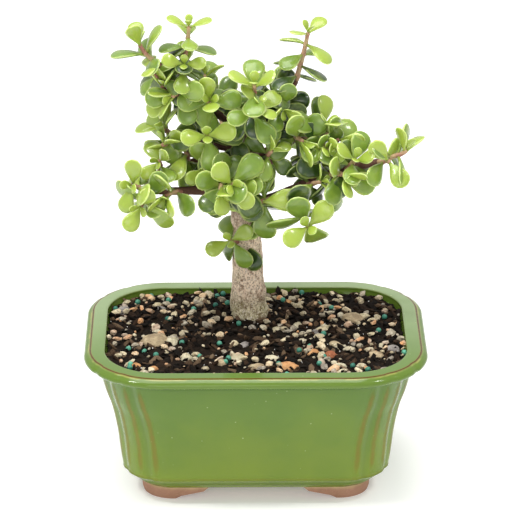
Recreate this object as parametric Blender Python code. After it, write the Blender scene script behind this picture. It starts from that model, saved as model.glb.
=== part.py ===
"""Potted dwarf jade: a small succulent tree in a glazed rectangular pot.

The pot stands on the XY plane with its middle over the origin.  X runs along
the pot, -Y is its front and +Z is up.  Sizes are in metres; the two tables of
the plant's wood and shoots are in millimetres from the foot of the trunk.
"""
import math

import bmesh
import bpy
import numpy as np
from mathutils import Vector
from mathutils.bvhtree import BVHTree

MM = 0.001
GAP = 0.3 * MM                    # between pieces that touch

# ---- pot -------------------------------------------------------------------
POT_LENGTH = 0.155                # over the rim, along X
POT_DEPTH = 0.1174                # over the rim, along Y
POT_HEIGHT = 0.070                # table to the inner edge of the lip
LIP_INSET = 0.0089                # outer edge of the rim to the opening
FOOT_HEIGHT = 0.0062
FOOT_WALL = 0.0095                # thickness of a bracket foot
FOOT_SET = 0.0007                 # foot's outer face in from the underside's edge
FOOT_TAPER = 0.0008               # and in from there again at the table
FLOOR_TOP = 0.0112
GROOVE_HALF = 0.0032              # half width of the groove down each corner
DRAIN_RADIUS = 0.007
DRAIN_SPACING = 0.048             # between the two drain holes

# Outer profile from the underside up: height over POT_HEIGHT, inset from the
# rim, corner radius, groove depth (the last three in millimetres).
POT_OUTSIDE = [
    (0.089, 24.6, 15.0, 0.3),
    (0.097, 23.8, 15.5, 0.5),
    (0.180, 17.6, 20.0, 1.2),
    (0.194, 16.9, 21.0, 1.5),
    (0.314, 15.6, 23.0, 1.6),
    (0.429, 14.5, 25.0, 1.6),
    (0.543, 13.1, 26.0, 1.6),
    (0.643, 11.3, 28.0, 1.6),
    (0.729, 9.2, 29.5, 1.6),
    (0.814, 7.5, 31.0, 1.5),
    (0.893, 6.2, 32.0, 1.4),
    (0.923, 5.0, 33.0, 1.3),
    (0.934, 1.6, 34.5, 1.0),
    (0.951, 0.3, 35.3, 0.9),
    (0.977, 0.0, 35.5, 0.9),
    (0.9886, 0.5, 35.2, 0.9),
]
# Inner profile from the lip down: height over POT_HEIGHT, inset beyond the
# opening and corner radius in millimetres.
POT_INSIDE = [
    (1.0, 0.0, 27.0),
    (0.991, 0.7, 26.5),
    (0.943, 1.4, 26.0),
    (0.643, 8.2, 21.0),
    (0.286, 12.6, 16.0),
    (0.186, 16.0, 12.5),
]

# ---- soil, mesh and stones ---------------------------------------------------
SOIL_TOP = POT_HEIGHT - 0.0040    # at the wall
SOIL_DOME = 0.0018                # extra height at the trunk
MESH_THICK = 0.0010
MESH_BAR = 0.0016
MESH_PITCH = 0.0062
MESH_CELLS = (11, 3)
# name: x and y as shares of the opening's half length and half depth, then
# length, width and height in millimetres and turn in degrees
STONES = {
    "stone_broad_tan": (-0.663, -0.161, 13.5, 10.5, 8.0, 20),
    "stone_flat_tan": (0.656, 0.351, 12.0, 9.0, 6.0, -25),
    "stone_round_grey": (-0.889, 0.542, 8.2, 7.0, 5.6, 40),
}

# ---- plant -------------------------------------------------------------------
PLANT_SCALE = 1.0                 # scales every length in the two tables below
TRUNK_FOOT = (-0.0024, 0.022)     # where the trunk leaves the soil
STEM_HALF = 0.85                  # half width of a young stem, millimetres
LEAF_GAP = 0.35                   # least space between leaves, millimetres
PAIR_OPEN = 24                    # each leaf pair stands so much wider open
LEAF_CURL = 22                    # a blade bends outward so much along its length
YOUNG_SIZE = 0.8                  # length of the youngest pair beside the others
LEAF_TUCK = 8                     # degrees a leaf stands closer than its pair's opening
OPEN_LIMIT = 100                  # widest opening of an old pair, degrees
NODE_HALF = 0.5                   # half length of the stem that bears a pair, millimetres
TIP_LENGTH = 0.3                  # bare stem beyond the last pair, millimetres
TIP_SIZE = 0.6                    # width of a stem's end beside the rest
STEM_SPAN = 5.0                   # longest straight run in a stem, millimetres
KNOT = (6.5, -4, 14, 4.5, 1.6)    # swelling on the trunk: x, y, height, radius, height
ROOT_FALL = 0.55                  # a buried root's fall beside its reach

# Centre line and radius of the trunk: x, y, height, radius.
TRUNK = [
    (2, 2, -20, 4.5),
    (1, 1, -12, 7.6),
    (0, 0, -3, 9.3),
    (0, 0, 3, 9.1),
    (-1, 0, 8, 8.2),
    (-1, -1, 15, 7.4),
    (-1, -2, 32, 7.1),
    (-2, -3, 49, 6.7),
    (-2, -3, 64, 5.7),
    (-1, -2, 79, 4.9),
    (1, -2, 92, 4.3),
    (3, -5, 103, 3.5),
]
ROOT_HEADINGS = (15, 88, 160, 232, 305)
ROOT_REACH = 17                   # of a buried root, millimetres

# Limbs: radius at the trunk and at the end, then points along the middle.
LIMBS = {
    "low_left": (2.9, 1.3, [(-3, -4, 59), (-10, -8, 64), (-20, -13, 68),
                            (-31, -16, 69), (-41, -19, 70), (-47, -21, 71)]),
    "mid_left": (2.6, 1.3, [(-1, -2, 69), (-9, 0, 74), (-19, 2, 77),
                            (-28, 0, 76), (-35, -4, 73), (-41, -8, 72)]),
    "high_left": (2.6, 1.2, [(-1, -1, 83), (-11, 4, 83), (-23, 6, 84),
                             (-31, 4, 87), (-36, 0, 91)]),
    "top_left": (3.0, 1.3, [(1, -1, 89), (-7, 2, 95), (-16, 2, 101),
                            (-23, 0, 105), (-29, -2, 110), (-32, -5, 116),
                            (-30, -7, 123)]),
    "low_right": (3.2, 1.5, [(-1, -5, 54), (6, -8, 60), (14, -12, 65),
                             (23, -14, 70), (32, -15, 75), (40, -16, 78),
                             (49, -17, 81), (56, -18, 83), (61, -18, 85)]),
    "mid_right": (2.6, 1.3, [(0, -1, 74), (7, 3, 80), (16, 4, 84),
                             (24, 2, 89), (31, -1, 92)]),
    "top_right": (2.8, 1.5, [(2, -2, 96), (8, 1, 101), (14, 1, 107),
                             (18, -1, 112), (21, -3, 117)]),
    "back_left": (2.6, 1.2, [(-1, 1, 79), (-3, 12, 79), (-6, 20, 80),
                             (-11, 26, 82)]),
    "back_right": (2.6, 1.2, [(0, 0, 69), (4, 12, 69), (10, 19, 70),
                              (16, 25, 72)]),
}

# Shoots, front ones first: name, wood it grows from, share along that wood,
# tip, heading and rise of the tip, roll of the first pair, pairs of leaves,
# leaf length, opening of the first pair, spacing of the pairs.
SHOOTS = [
    ("a1", "top_left", 0.90, (-49, -10, 133), 160, 70, 20, 2, 15.5, 20, 4.5),
    ("a2", "top_left", 1.00, (-27, -10, 145), -90, 80, 0, 4, 13.0, 58, 5.0),
    ("a3", "top_left", 0.86, (-29, -15, 129), -90, 35, 0, 2, 13.0, 62, 4.0),
    ("a4", "top_left", 0.80, (-39, -12, 118), -80, 70, 150, 2, 14.0, 25, 4.0),
    ("a5", "top_left", 0.70, (-35, -16, 114), -170, -20, 90, 2, 14.5, 30, 4.0),
    ("a6", "top_left", 0.52, (-20, -6, 121), 90, 70, 160, 2, 12.5, 45, 4.0),
    ("a7", "top_left", 0.42, (-18, -16, 112), -90, 35, 95, 3, 15.0, 40, 3.5),
    ("a8", "top_left", 0.84, (-45, -15, 127), 170, 70, 10, 1, 11.0, 75, 4.5),
    ("b1", "trunk", 1.00, (2, -18, 120), -90, 62, 0, 3, 15.5, 42, 4.5),
    ("b2", "trunk", 0.93, (3, -22, 112), -50, 60, 90, 2, 14.0, 65, 4.0),
    ("c1", "top_right", 1.00, (26, -4, 140), 0, 78, 90, 5, 12.5, 58, 5.2),
    ("c2", "top_right", 0.35, (15, -14, 107), -70, -20, 150, 2, 13.0, 35, 4.0),
    ("d1", "mid_right", 0.82, (34, -8, 97), 40, 70, 100, 2, 15.5, 25, 4.0),
    ("d2", "mid_right", 1.00, (40, -14, 92), -60, 0, 10, 1, 12.5, 35, 4.0),
    ("d3", "mid_right", 0.60, (24, -16, 92), -30, -40, 20, 2, 15.5, 20, 4.0),
    ("d4", "mid_right", 0.40, (10, -20, 90), 0, 50, 130, 2, 12.5, 45, 4.0),
    ("d5", "mid_right", 0.76, (35, -20, 91), -80, 20, 40, 2, 11.0, 20, 3.5),
    ("e1", "low_right", 0.66, (47, -24, 87), -80, 50, 160, 3, 14.0, 45, 3.0),
    ("e2", "low_right", 0.90, (62, -25, 86), -90, 10, 130, 1, 14.0, 55, 4.0),
    ("e3", "low_right", 1.00, (70, -20, 90), 50, 60, 80, 2, 15.5, 45, 4.0),
    ("e4", "low_right", 0.55, (43, -27, 80), -60, -10, 60, 2, 15.5, 25, 4.0),
    ("e5", "low_right", 0.40, (32, -23, 76), -10, 20, 100, 2, 11.0, 55, 4.0),
    ("e6", "low_right", 0.36, (24, -30, 60), -75, 20, 62, 3, 15.0, 40, 3.5),
    ("e7", "low_right", 0.20, (10, -20, 62), -150, 0, 80, 1, 14.0, 45, 4.0),
    ("f1", "trunk", 0.70, (-8, -30, 79), -70, -40, 130, 2, 14.0, 75, 3.5),
    ("f2", "low_left", 0.22, (-13, -28, 74), -80, -30, 80, 2, 15.5, 20, 3.5),
    ("f3", "trunk", 0.75, (-4, -20, 77), -20, -30, 0, 2, 15.5, 20, 4.0),
    ("g1", "high_left", 0.52, (-19, -20, 97), -90, -20, 10, 3, 14.0, 35, 3.5),
    ("g2", "mid_left", 0.35, (-20, -16, 79), -100, 0, 20, 2, 14.0, 45, 4.0),
    ("g3", "mid_left", 0.60, (-29, -10, 85), -120, 20, 100, 1, 14.0, 45, 4.0),
    ("h1", "low_left", 1.00, (-53, -24, 74), -115, 0, 80, 2, 14.5, 65, 4.0),
    ("h2", "low_left", 0.85, (-50, -30, 69), -110, -10, 60, 2, 14.0, 70, 3.5),
    ("h3", "mid_left", 1.00, (-41, -16, 83), -115, 10, 50, 2, 13.0, 55, 4.0),
    ("h4", "high_left", 1.00, (-39, -6, 96), -160, 60, 60, 2, 15.5, 55, 4.0),
    ("h5", "high_left", 0.90, (-39, -10, 90), 90, 60, 120, 2, 14.0, 85, 4.0),
    ("h6", "low_left", 0.58, (-38, -26, 70), -110, -20, 160, 2, 15.5, 25, 4.0),
    ("i1", "trunk", 0.58, (-8, -14, 43), -110, 40, 0, 2, 11.0, 75, 3.5),
    ("r1", "back_left", 0.90, (-14, 28, 90), 110, 55, 20, 3, 13.0, 45, 4.5),
    ("r2", "back_left", 0.50, (0, 20, 90), 60, 60, 70, 2, 13.5, 50, 4.5),
    ("r3", "back_right", 0.90, (21, 27, 79), 60, 55, 10, 3, 13.0, 45, 4.5),
    ("r4", "back_right", 0.55, (5, 23, 62), 90, -10, 60, 2, 13.5, 55, 4.5),
    ("r5", "top_right", 0.50, (12, 16, 106), 80, 50, 30, 3, 13.5, 45, 4.5),
    ("r6", "top_left", 0.45, (-14, 18, 102), 100, 50, 30, 3, 13.5, 45, 4.5),
    ("r7", "low_right", 0.45, (28, 4, 84), 70, 50, 40, 3, 13.5, 50, 4.5),
]

# A leaf's half width and half thickness along it, as shares of its length.
LEAF_RINGS = [
    (0.14, 0.055, 0.050),
    (0.42, 0.215, 0.075),
    (0.70, 0.325, 0.070),
    (0.91, 0.225, 0.045),
]


# ---- mesh helpers --------------------------------------------------------------
def clear_scene():
    for thing in list(bpy.data.objects):
        bpy.data.objects.remove(thing, do_unlink=True)


def material(name, colour, roughness, metallic=0.0):
    mat = bpy.data.materials.new(name)
    mat.use_nodes = True
    shader = mat.node_tree.nodes["Principled BSDF"]
    shader.inputs["Base Color"].default_value = (*colour, 1.0)
    shader.inputs["Roughness"].default_value = roughness
    shader.inputs["Metallic"].default_value = metallic
    return mat


def add_object(name, verts, faces, mat=None, smooth=True):
    """An object from points and faces, with every face turned outward."""
    mesh = bpy.data.meshes.new(name)
    mesh.from_pydata([tuple(float(c) for c in v) for v in verts], [], faces)
    work = bmesh.new()
    work.from_mesh(mesh)
    bmesh.ops.recalc_face_normals(work, faces=work.faces)
    if work.calc_volume(signed=True) < 0:
        bmesh.ops.reverse_faces(work, faces=work.faces)
    work.to_mesh(mesh)
    work.free()
    thing = bpy.data.objects.new(name, mesh)
    bpy.context.collection.objects.link(thing)
    if mat:
        mesh.materials.append(mat)
    mesh.polygons.foreach_set("use_smooth", [smooth] * len(mesh.polygons))
    return thing


def combine(target, cutter, operation):
    """Apply an exact Boolean to target and throw the cutter away."""
    mod = target.modifiers.new(operation.lower(), "BOOLEAN")
    mod.operation = operation
    mod.solver = "EXACT"
    mod.object = cutter
    bpy.context.view_layer.update()
    graph = bpy.context.evaluated_depsgraph_get()
    result = bpy.data.meshes.new_from_object(target.evaluated_get(graph))
    target.modifiers.remove(mod)
    target.data = result
    bpy.data.objects.remove(cutter, do_unlink=True)


def loft(rings, closed=False):
    """Faces through rings of equal length; open ends are capped."""
    count = len(rings[0])
    verts = [p for ring in rings for p in ring]
    faces = []
    spans = len(rings) if closed else len(rings) - 1
    for i in range(spans):
        a = i * count
        b = (i + 1) % len(rings) * count
        for j in range(count):
            k = (j + 1) % count
            faces.append((a + j, a + k, b + k, b + j))
    if not closed:
        faces.append(tuple(range(count))[::-1])
        last = (len(rings) - 1) * count
        faces.append(tuple(range(last, last + count)))
    return verts, faces


def box(name, low, high):
    corners = [(x, y, z) for z in (low[2], high[2]) for x, y in
               ((low[0], low[1]), (high[0], low[1]), (high[0], high[1]), (low[0], high[1]))]
    return add_object(name, *loft([corners[:4], corners[4:]]))


def cylinder(name, centre, radius, low, high, sides=32):
    turns = [2 * math.pi * i / sides for i in range(sides)]
    ring = [(centre[0] + radius * math.cos(t), centre[1] + radius * math.sin(t)) for t in turns]
    return add_object(name, *loft([[(x, y, z) for x, y in ring] for z in (low, high)]))


def prism(name, outline, axis, half):
    """An outline in (across, up) pushed through both ways along X or Y."""
    if axis == "X":
        rings = [[(s * half, across, up) for across, up in outline] for s in (-1, 1)]
    else:
        rings = [[(across, s * half, up) for across, up in outline] for s in (-1, 1)]
    return add_object(name, *loft(rings))


def unit(v):
    return v / np.linalg.norm(v)


def smooth_path(points, count):
    """Points evenly shared along a curve through the given points."""
    pts = np.array(points, float)
    ends = np.vstack([2 * pts[0] - pts[1], pts, 2 * pts[-1] - pts[-2]])
    spans = len(pts) - 1
    out = []
    for s in np.linspace(0, spans, count):
        i = min(int(s), spans - 1)
        t = s - i
        a, b, c, d = ends[i:i + 4]
        out.append(0.5 * (2 * b + (c - a) * t + (2 * a - 5 * b + 4 * c - d) * t * t
                          + (3 * b - a - 3 * c + d) * t ** 3))
    return np.array(out)


def tube_rings(path, radii, sides):
    """Rings round a path, carried along it without twisting."""
    rings = []
    side = None
    for i, centre in enumerate(path):
        ahead = unit(path[min(i + 1, len(path) - 1)] - path[max(i - 1, 0)])
        if side is None:
            side = unit(np.cross(ahead, [0.0, 0.3, 1.0]))
        side = unit(side - ahead * (side @ ahead))
        other = np.cross(ahead, side)
        turns = [2 * math.pi * k / sides for k in range(sides)]
        rings.append([centre + radii[i] * (math.cos(t) * side + math.sin(t) * other)
                      for t in turns])
    return rings


# ---- pot -------------------------------------------------------------------------
def rounded_outline(half_x, half_y, radius, groove, z):
    """A rounded rectangle with a soft groove at the middle of each corner."""
    wide = min(math.degrees(GROOVE_HALF / radius), 18.0)
    angles = [0, 12, 24, 45 - wide, 45 - wide / 2, 45, 45 + wide / 2, 45 + wide, 66, 78, 90]
    ring = []
    for cx, cy, start in ((1, 1, 0), (-1, 1, 90), (-1, -1, 180), (1, -1, 270)):
        for angle in angles:
            share = min(abs(angle - 45) / wide, 1.0)
            reach = radius - groove * math.cos(share * math.pi / 2) ** 2
            turn = math.radians(start + angle)
            ring.append((cx * (half_x - radius) + reach * math.cos(turn),
                         cy * (half_y - radius) + reach * math.sin(turn), z))
    return ring


def outside_ring(share, inset, radius, groove):
    return rounded_outline(POT_LENGTH / 2 - inset * MM, POT_DEPTH / 2 - inset * MM,
                           radius * MM, groove * MM, share * POT_HEIGHT)


def inside_ring(share, inset, radius, shrink=0.0):
    off = LIP_INSET + inset * MM + shrink
    return rounded_outline(POT_LENGTH / 2 - off, POT_DEPTH / 2 - off,
                           radius * MM - shrink, 0.0, share * POT_HEIGHT)


def inside_at(share):
    """A row of the inner profile at any height."""
    rows = POT_INSIDE[::-1]
    heights = [row[0] for row in rows]
    return (share, float(np.interp(share, heights, [row[1] for row in rows])),
            float(np.interp(share, heights, [row[2] for row in rows])))


def foot_gap(half_wide, half_narrow):
    """Outline of the gap between two bracket feet, wide at the table."""
    step = half_wide - half_narrow
    right = [(half_wide + step / 6, -FOOT_HEIGHT), (half_wide, 0.0),
             (half_wide - 0.16 * step, 0.24 * FOOT_HEIGHT),
             (half_narrow + 0.18 * step, 0.60 * FOOT_HEIGHT),
             (half_narrow, FOOT_HEIGHT)]
    left = [(-across, up) for across, up in reversed(right)]
    return right + left


def make_feet():
    """A ring under the pot, opened along both sides so four feet are left."""
    inset = POT_OUTSIDE[0][1] * MM + FOOT_SET
    half_x = POT_LENGTH / 2 - inset
    half_y = POT_DEPTH / 2 - inset
    radius = POT_OUTSIDE[0][2] * MM - FOOT_SET
    rings = [rounded_outline(half_x - share * FOOT_TAPER, half_y - share * FOOT_TAPER,
                             radius - share * FOOT_TAPER, 0.0, up)
             for share, up in ((1.0, 0.0), (0.4, 0.25 * FOOT_HEIGHT),
                               (0.0, POT_OUTSIDE[0][0] * POT_HEIGHT + 0.5 * MM))]
    feet = add_object("feet", *loft(rings))
    inner = radius - FOOT_WALL + 2 * MM
    hole = [rounded_outline(half_x - FOOT_WALL, half_y - FOOT_WALL, inner, 0.0, z)
            for z in (-FOOT_HEIGHT, FOOT_HEIGHT)]
    combine(feet, add_object("ring_hole", *loft(hole)), "DIFFERENCE")
    for axis, half, reach in (("Y", half_x, POT_DEPTH), ("X", half_y, POT_LENGTH)):
        gap = foot_gap(0.70 * half, 0.70 * half - 0.0155)
        combine(feet, prism("foot_gap", gap, axis, reach), "DIFFERENCE")
    return feet


def make_pot(mat):
    outside = [outside_ring(*row) for row in POT_OUTSIDE]
    inside = [inside_ring(*row) for row in POT_INSIDE]
    shift = FLOOR_TOP - inside[-1][0][2]
    floor = [(0.97 * x, 0.97 * y, z + shift) for x, y, z in inside[-1]]
    verts, faces = loft(outside + inside + [floor])
    pot = add_object("pot", verts, faces, mat)
    combine(pot, make_feet(), "UNION")
    for side in (-1, 1):
        hole = cylinder("drain", (side * DRAIN_SPACING / 2, 0.0), DRAIN_RADIUS,
                        0.5 * FOOT_HEIGHT, FLOOR_TOP + FOOT_HEIGHT)
        combine(pot, hole, "DIFFERENCE")
    return pot


def make_mesh_strip(mat):
    """The plastic mesh over both drain holes: a sheet with square openings."""
    low = FLOOR_TOP + GAP
    xs = []
    ys = []
    for cells, out in ((MESH_CELLS[0], xs), (MESH_CELLS[1], ys)):
        start = -(cells * MESH_PITCH + MESH_BAR) / 2
        for i in range(cells + 1):
            out.append(start + i * MESH_PITCH)
            out.append(start + i * MESH_PITCH + MESH_BAR)
    work = bmesh.new()
    grid = [[work.verts.new((x, y, low)) for y in ys] for x in xs]
    for i in range(len(xs) - 1):
        for j in range(len(ys) - 1):
            if i % 2 == 0 or j % 2 == 0:
                work.faces.new((grid[i][j], grid[i + 1][j],
                                grid[i + 1][j + 1], grid[i][j + 1]))
    made = bmesh.ops.extrude_face_region(work, geom=work.faces[:])
    top = [v for v in made["geom"] if isinstance(v, bmesh.types.BMVert)]
    bmesh.ops.translate(work, verts=top, vec=(0, 0, MESH_THICK))
    mesh = bpy.data.meshes.new("drain_mesh")
    work.to_mesh(mesh)
    verts = [tuple(v.co) for v in mesh.vertices]
    faces = [tuple(p.vertices) for p in mesh.polygons]
    work.free()
    bpy.data.meshes.remove(mesh)
    return add_object("drain_mesh", verts, faces, mat, smooth=False)


# ---- wood ------------------------------------------------------------------------
def plant_point(p):
    """A point of the plant's tables, in metres."""
    return np.array([TRUNK_FOOT[0], TRUNK_FOOT[1], SOIL_TOP]) \
        + np.array(p, float) * MM * PLANT_SCALE


def trunk_line(count=60):
    line = smooth_path([row[:3] for row in TRUNK], count)
    radii = np.interp(np.linspace(0, len(TRUNK) - 1, count), range(len(TRUNK)),
                      [row[3] for row in TRUNK])
    return np.array([plant_point(p) for p in line]), radii * MM * PLANT_SCALE


def limb_line(name, count=40):
    first, last, points = LIMBS[name]
    line = np.array([plant_point(p) for p in smooth_path(points, count)])
    return line, np.linspace(first, last, count) * MM * PLANT_SCALE


def wood_line(name):
    return trunk_line() if name == "trunk" else limb_line(name)


def trunk_shape(name, grow, mat=None):
    line, radii = trunk_line(22)
    line[0] = line[0] - unit(line[1] - line[0]) * grow
    sides = 14
    rings = tube_rings(line, radii + grow, sides)
    knot = plant_point(KNOT[:3])
    spread, height = np.array(KNOT[3:]) * MM * PLANT_SCALE
    for ring, centre in zip(rings, line):
        for i, p in enumerate(ring):
            swell = height * math.exp(-((np.linalg.norm(p - knot) / spread) ** 2))
            ring[i] = p + unit(p - centre) * swell
    thing = add_object(name, *loft(rings), mat)
    for heading in ROOT_HEADINGS:
        turn = math.radians(heading)
        start = plant_point((1, 1, -6))
        out = np.array([math.cos(turn), math.sin(turn), -ROOT_FALL])
        path = [start + out * share * ROOT_REACH * MM * PLANT_SCALE
                for share in (0.15, 0.5, 0.8, 1.0)]
        size = np.array([3.4, 2.4, 1.5, 0.8]) * MM * PLANT_SCALE + grow
        path[-1] = path[-1] + out * grow
        root = add_object("root", *loft(tube_rings(np.array(path), size, 8)))
        combine(thing, root, "UNION")
    return thing


def make_limb(name, mat):
    line, radii = limb_line(name, 14)
    limb = add_object("limb_" + name, *loft(tube_rings(line, radii, 9)), mat)
    combine(limb, trunk_shape("trunk_clearance", GAP), "DIFFERENCE")
    return limb


# ---- shoots ----------------------------------------------------------------------
def shoot_frame(heading, rise, roll):
    """The direction a shoot's tip faces and that of its youngest leaf pair."""
    h = math.radians(heading)
    r = math.radians(rise)
    axis = np.array([math.cos(r) * math.cos(h), math.cos(r) * math.sin(h), math.sin(r)])
    level = unit(np.cross(axis, [0.0, 0.0, 1.0]))
    turn = math.radians(roll)
    return axis, math.cos(turn) * level + math.sin(turn) * np.cross(axis, level)


def leaf_rings(base, axis, radial, length, angle, grow=0.0):
    """Four-point rings of one leaf from its stalk to near its end, and the end."""
    across = np.cross(axis, radial)
    point = base
    last = 0.0
    rings = []
    for share, wide, thick in LEAF_RINGS + [(1.0, 0.0, 0.0)]:
        bend = math.radians(angle + LEAF_CURL * share)
        along = math.cos(bend) * axis + math.sin(bend) * radial
        face = np.cross(along, across)
        point = point + along * (share - last) * length
        last = share
        w = wide * length + grow
        t = thick * length + grow
        rings.append([point + across * w, point + face * t,
                      point - across * w, point - face * t])
    end = np.mean(rings.pop(), axis=0)
    return rings, end


def leaf_solid(rings, end, quad):
    """Points and faces of a leaf that grows out of the four corners of quad."""
    verts = list(quad) + [p for ring in rings for p in ring] + [end]
    mids = [(quad[i] + quad[(i + 1) % 4]) / 2 for i in range(4)]
    first = min(range(4), key=lambda k: sum(
        np.linalg.norm(mids[i] - rings[0][(i + k) % 4]) for i in range(4)))
    faces = []
    for i in range(4):
        j = (i + 1) % 4
        a = 4 + (i + first) % 4
        b = 4 + (j + first) % 4
        faces.append((i, j, a))
        faces.append((j, b, a))
    for r in range(len(rings) - 1):
        low = 4 + 4 * r
        for i in range(4):
            j = (i + 1) % 4
            faces.append((low + i, low + j, low + 4 + j, low + 4 + i))
    low = 4 + 4 * (len(rings) - 1)
    for i in range(4):
        faces.append((low + i, low + (i + 1) % 4, len(verts) - 1))
    return verts, faces


def tree_of(verts, faces):
    return BVHTree.FromPolygons([Vector(v) for v in verts], faces)


def object_tree(thing):
    verts = [thing.matrix_world @ v.co for v in thing.data.vertices]
    return BVHTree.FromPolygons(verts, [tuple(p.vertices) for p in thing.data.polygons])


def stem_path(row):
    """Ring centres of a shoot's stem, its frame, and the ring under each pair."""
    _, wood, share, tip, heading, rise, roll, pairs, _, _, spacing = row
    line, _ = wood_line(wood)
    at = share * (len(line) - 1)
    i = min(int(at), len(line) - 2)
    start = line[i] + (line[i + 1] - line[i]) * (at - i)
    tip = plant_point(tip)
    axis, radial = shoot_frame(heading, rise, roll)
    reach = np.linalg.norm(tip - start)
    depart = unit(tip - start)
    s = np.linspace(0, 1, 41)[:, None]
    curve = ((2 * s ** 3 - 3 * s ** 2 + 1) * start + (s ** 3 - 2 * s ** 2 + s) * depart * reach * 0.9
             + (3 * s ** 2 - 2 * s ** 3) * tip + (s ** 3 - s ** 2) * axis * reach * 0.9)
    steps = np.linalg.norm(np.diff(curve, axis=0), axis=1)
    arc = np.r_[0.0, np.cumsum(steps)]
    return curve, arc, axis, radial


def clearance(point, tree):
    """Distance from a point to a solid's surface, below zero inside it."""
    spot, normal, _, distance = tree.find_nearest(Vector(point))
    return distance if (Vector(point) - spot).dot(normal) >= 0 else -distance


def make_stem(row, wood):
    """Rings of a stem that starts a gap away from its wood."""
    pairs, spacing = row[7], row[10] * MM * PLANT_SCALE
    curve, arc, axis, radial = stem_path(row)
    half = STEM_HALF * MM * PLANT_SCALE
    total = arc[-1]

    def at(distance):
        return np.array([np.interp(distance, arc, curve[:, k]) for k in range(3)])

    def ring(distance, size):
        ahead = unit(at(min(distance + MM, total)) - at(max(distance - MM, 0.0)))
        if distance > total - MM:
            ahead = axis
        a = unit(radial - ahead * (radial @ ahead))
        b = np.cross(ahead, a)
        c = at(distance)
        return [c + size * (a + b), c + size * (b - a), c - size * (a + b), c + size * (a - b)]

    # The foot of the stem is moved out until it clears the wood by the gap.
    start = 0.0
    while start < total:
        foot = ring(start, half)
        middle = np.mean(foot, axis=0)
        probes = foot + [middle] + [(foot[k] + foot[(k + 1) % 4]) / 2 for k in range(4)]
        if min(clearance(p, wood) for p in probes) >= GAP:
            break
        start += 0.1 * MM
    node_half = NODE_HALF * MM * PLANT_SCALE
    span = STEM_SPAN * MM * PLANT_SCALE
    nodes = []
    for k in range(pairs):
        middle = total - node_half - TIP_LENGTH * MM - k * spacing
        if middle - node_half > start + GAP:
            nodes.append(middle)
    stops = [start]
    for middle in reversed(nodes):
        room = middle - node_half - stops[-1]
        extra = int(room / span)
        for _ in range(extra):
            stops.append(stops[-1] + room / (extra + 1))
        stops += [middle - node_half, middle + node_half]
    stops.append(total)
    rings = [ring(stop, half * (1.0 if stop < total else TIP_SIZE)) for stop in stops]
    return rings, stops, nodes, axis, radial


def leaf_choices():
    """Slight turns and sizes tried in order until a leaf has room."""
    for size in (1.0, 0.85, 0.7):
        for lift in (0, 12, -12, 24, -24):
            for swing in (0, 14, -14, 28, -28):
                yield size, lift, swing


def turned(v, axis, degrees):
    t = math.radians(degrees)
    return v * math.cos(t) + np.cross(axis, v) * math.sin(t) + axis * (axis @ v) * (1 - math.cos(t))


def grow_leaf(quad, axis, radial, length, angle, around, stem):
    """The first of the choices that clears everything already there, or None."""
    base = np.mean(quad, axis=0)
    for size, lift, swing in leaf_choices():
        out = turned(radial, axis, swing)
        rings, end = leaf_rings(base, axis, out, length * size, angle + lift)
        wide, wide_end = leaf_rings(base, axis, out, length * size, angle + lift,
                                    LEAF_GAP * MM)
        wide_end = wide_end + unit(wide_end - base) * LEAF_GAP * MM
        blade = tree_of(*loft(wide[1:]))
        trial = tree_of(*leaf_solid(wide, wide_end, quad))
        if not blade.overlap(stem) and not any(trial.overlap(tree) for tree in around):
            return leaf_solid(rings, end, quad)
    return None


def make_shoots(woods, mats):
    stems = [make_stem(row, woods[row[1]]) for row in SHOOTS]
    stem_trees = [tree_of(*loft(stem[0])) for stem in stems]
    leaf_trees = []
    for index, (row, stem) in enumerate(zip(SHOOTS, stems)):
        rings, stops, nodes, axis, radial = stem
        verts = [p for ring in rings for p in ring]
        faces = [(0, 3, 2, 1)]
        top = 4 * (len(rings) - 1)
        faces.append((top, top + 1, top + 2, top + 3))
        others = list(woods.values()) + [t for i, t in enumerate(stem_trees) if i != index]
        own = []
        for span in range(len(rings) - 1):
            middle = (stops[span] + stops[span + 1]) / 2
            pair = next((k for k, m in enumerate(nodes) if abs(m - middle) < 0.1 * GAP), None)
            for side in range(4):
                a = 4 * span + side
                b = 4 * span + (side + 1) % 4
                quad = (a, b, b + 4, a + 4)
                # Sides 0 and 2 face across the youngest pair, 1 and 3 along it.
                leafy = pair is not None and (side % 2 == 1) == (pair % 2 == 0)
                grown = None
                if leafy:
                    corners = [verts[i] for i in quad]
                    out = np.mean(corners, axis=0) - np.mean(rings[span] + rings[span + 1], axis=0)
                    local = unit(np.mean(rings[span + 1], axis=0) - np.mean(rings[span], axis=0))
                    out = unit(out - local * (out @ local))
                    length = row[8] * MM * PLANT_SCALE
                    if pair == 0 and len(nodes) > 1:
                        length *= YOUNG_SIZE
                    angle = min(row[9] + PAIR_OPEN * pair, OPEN_LIMIT) - LEAF_TUCK
                    grown = grow_leaf(corners, local, out, length, angle,
                                      others + leaf_trees + own, stem_trees[index])
                if grown is None:
                    faces.append(quad)
                    continue
                leaf_verts, leaf_faces = grown
                own.append(tree_of(leaf_verts, leaf_faces))
                start = len(verts)
                verts += leaf_verts[4:]
                for face in leaf_faces:
                    faces.append(tuple(quad[i] if i < 4 else start + i - 4 for i in face))
        leaf_trees += own
        add_object("shoot_" + row[0], verts, faces, mats[index % len(mats)])


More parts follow.
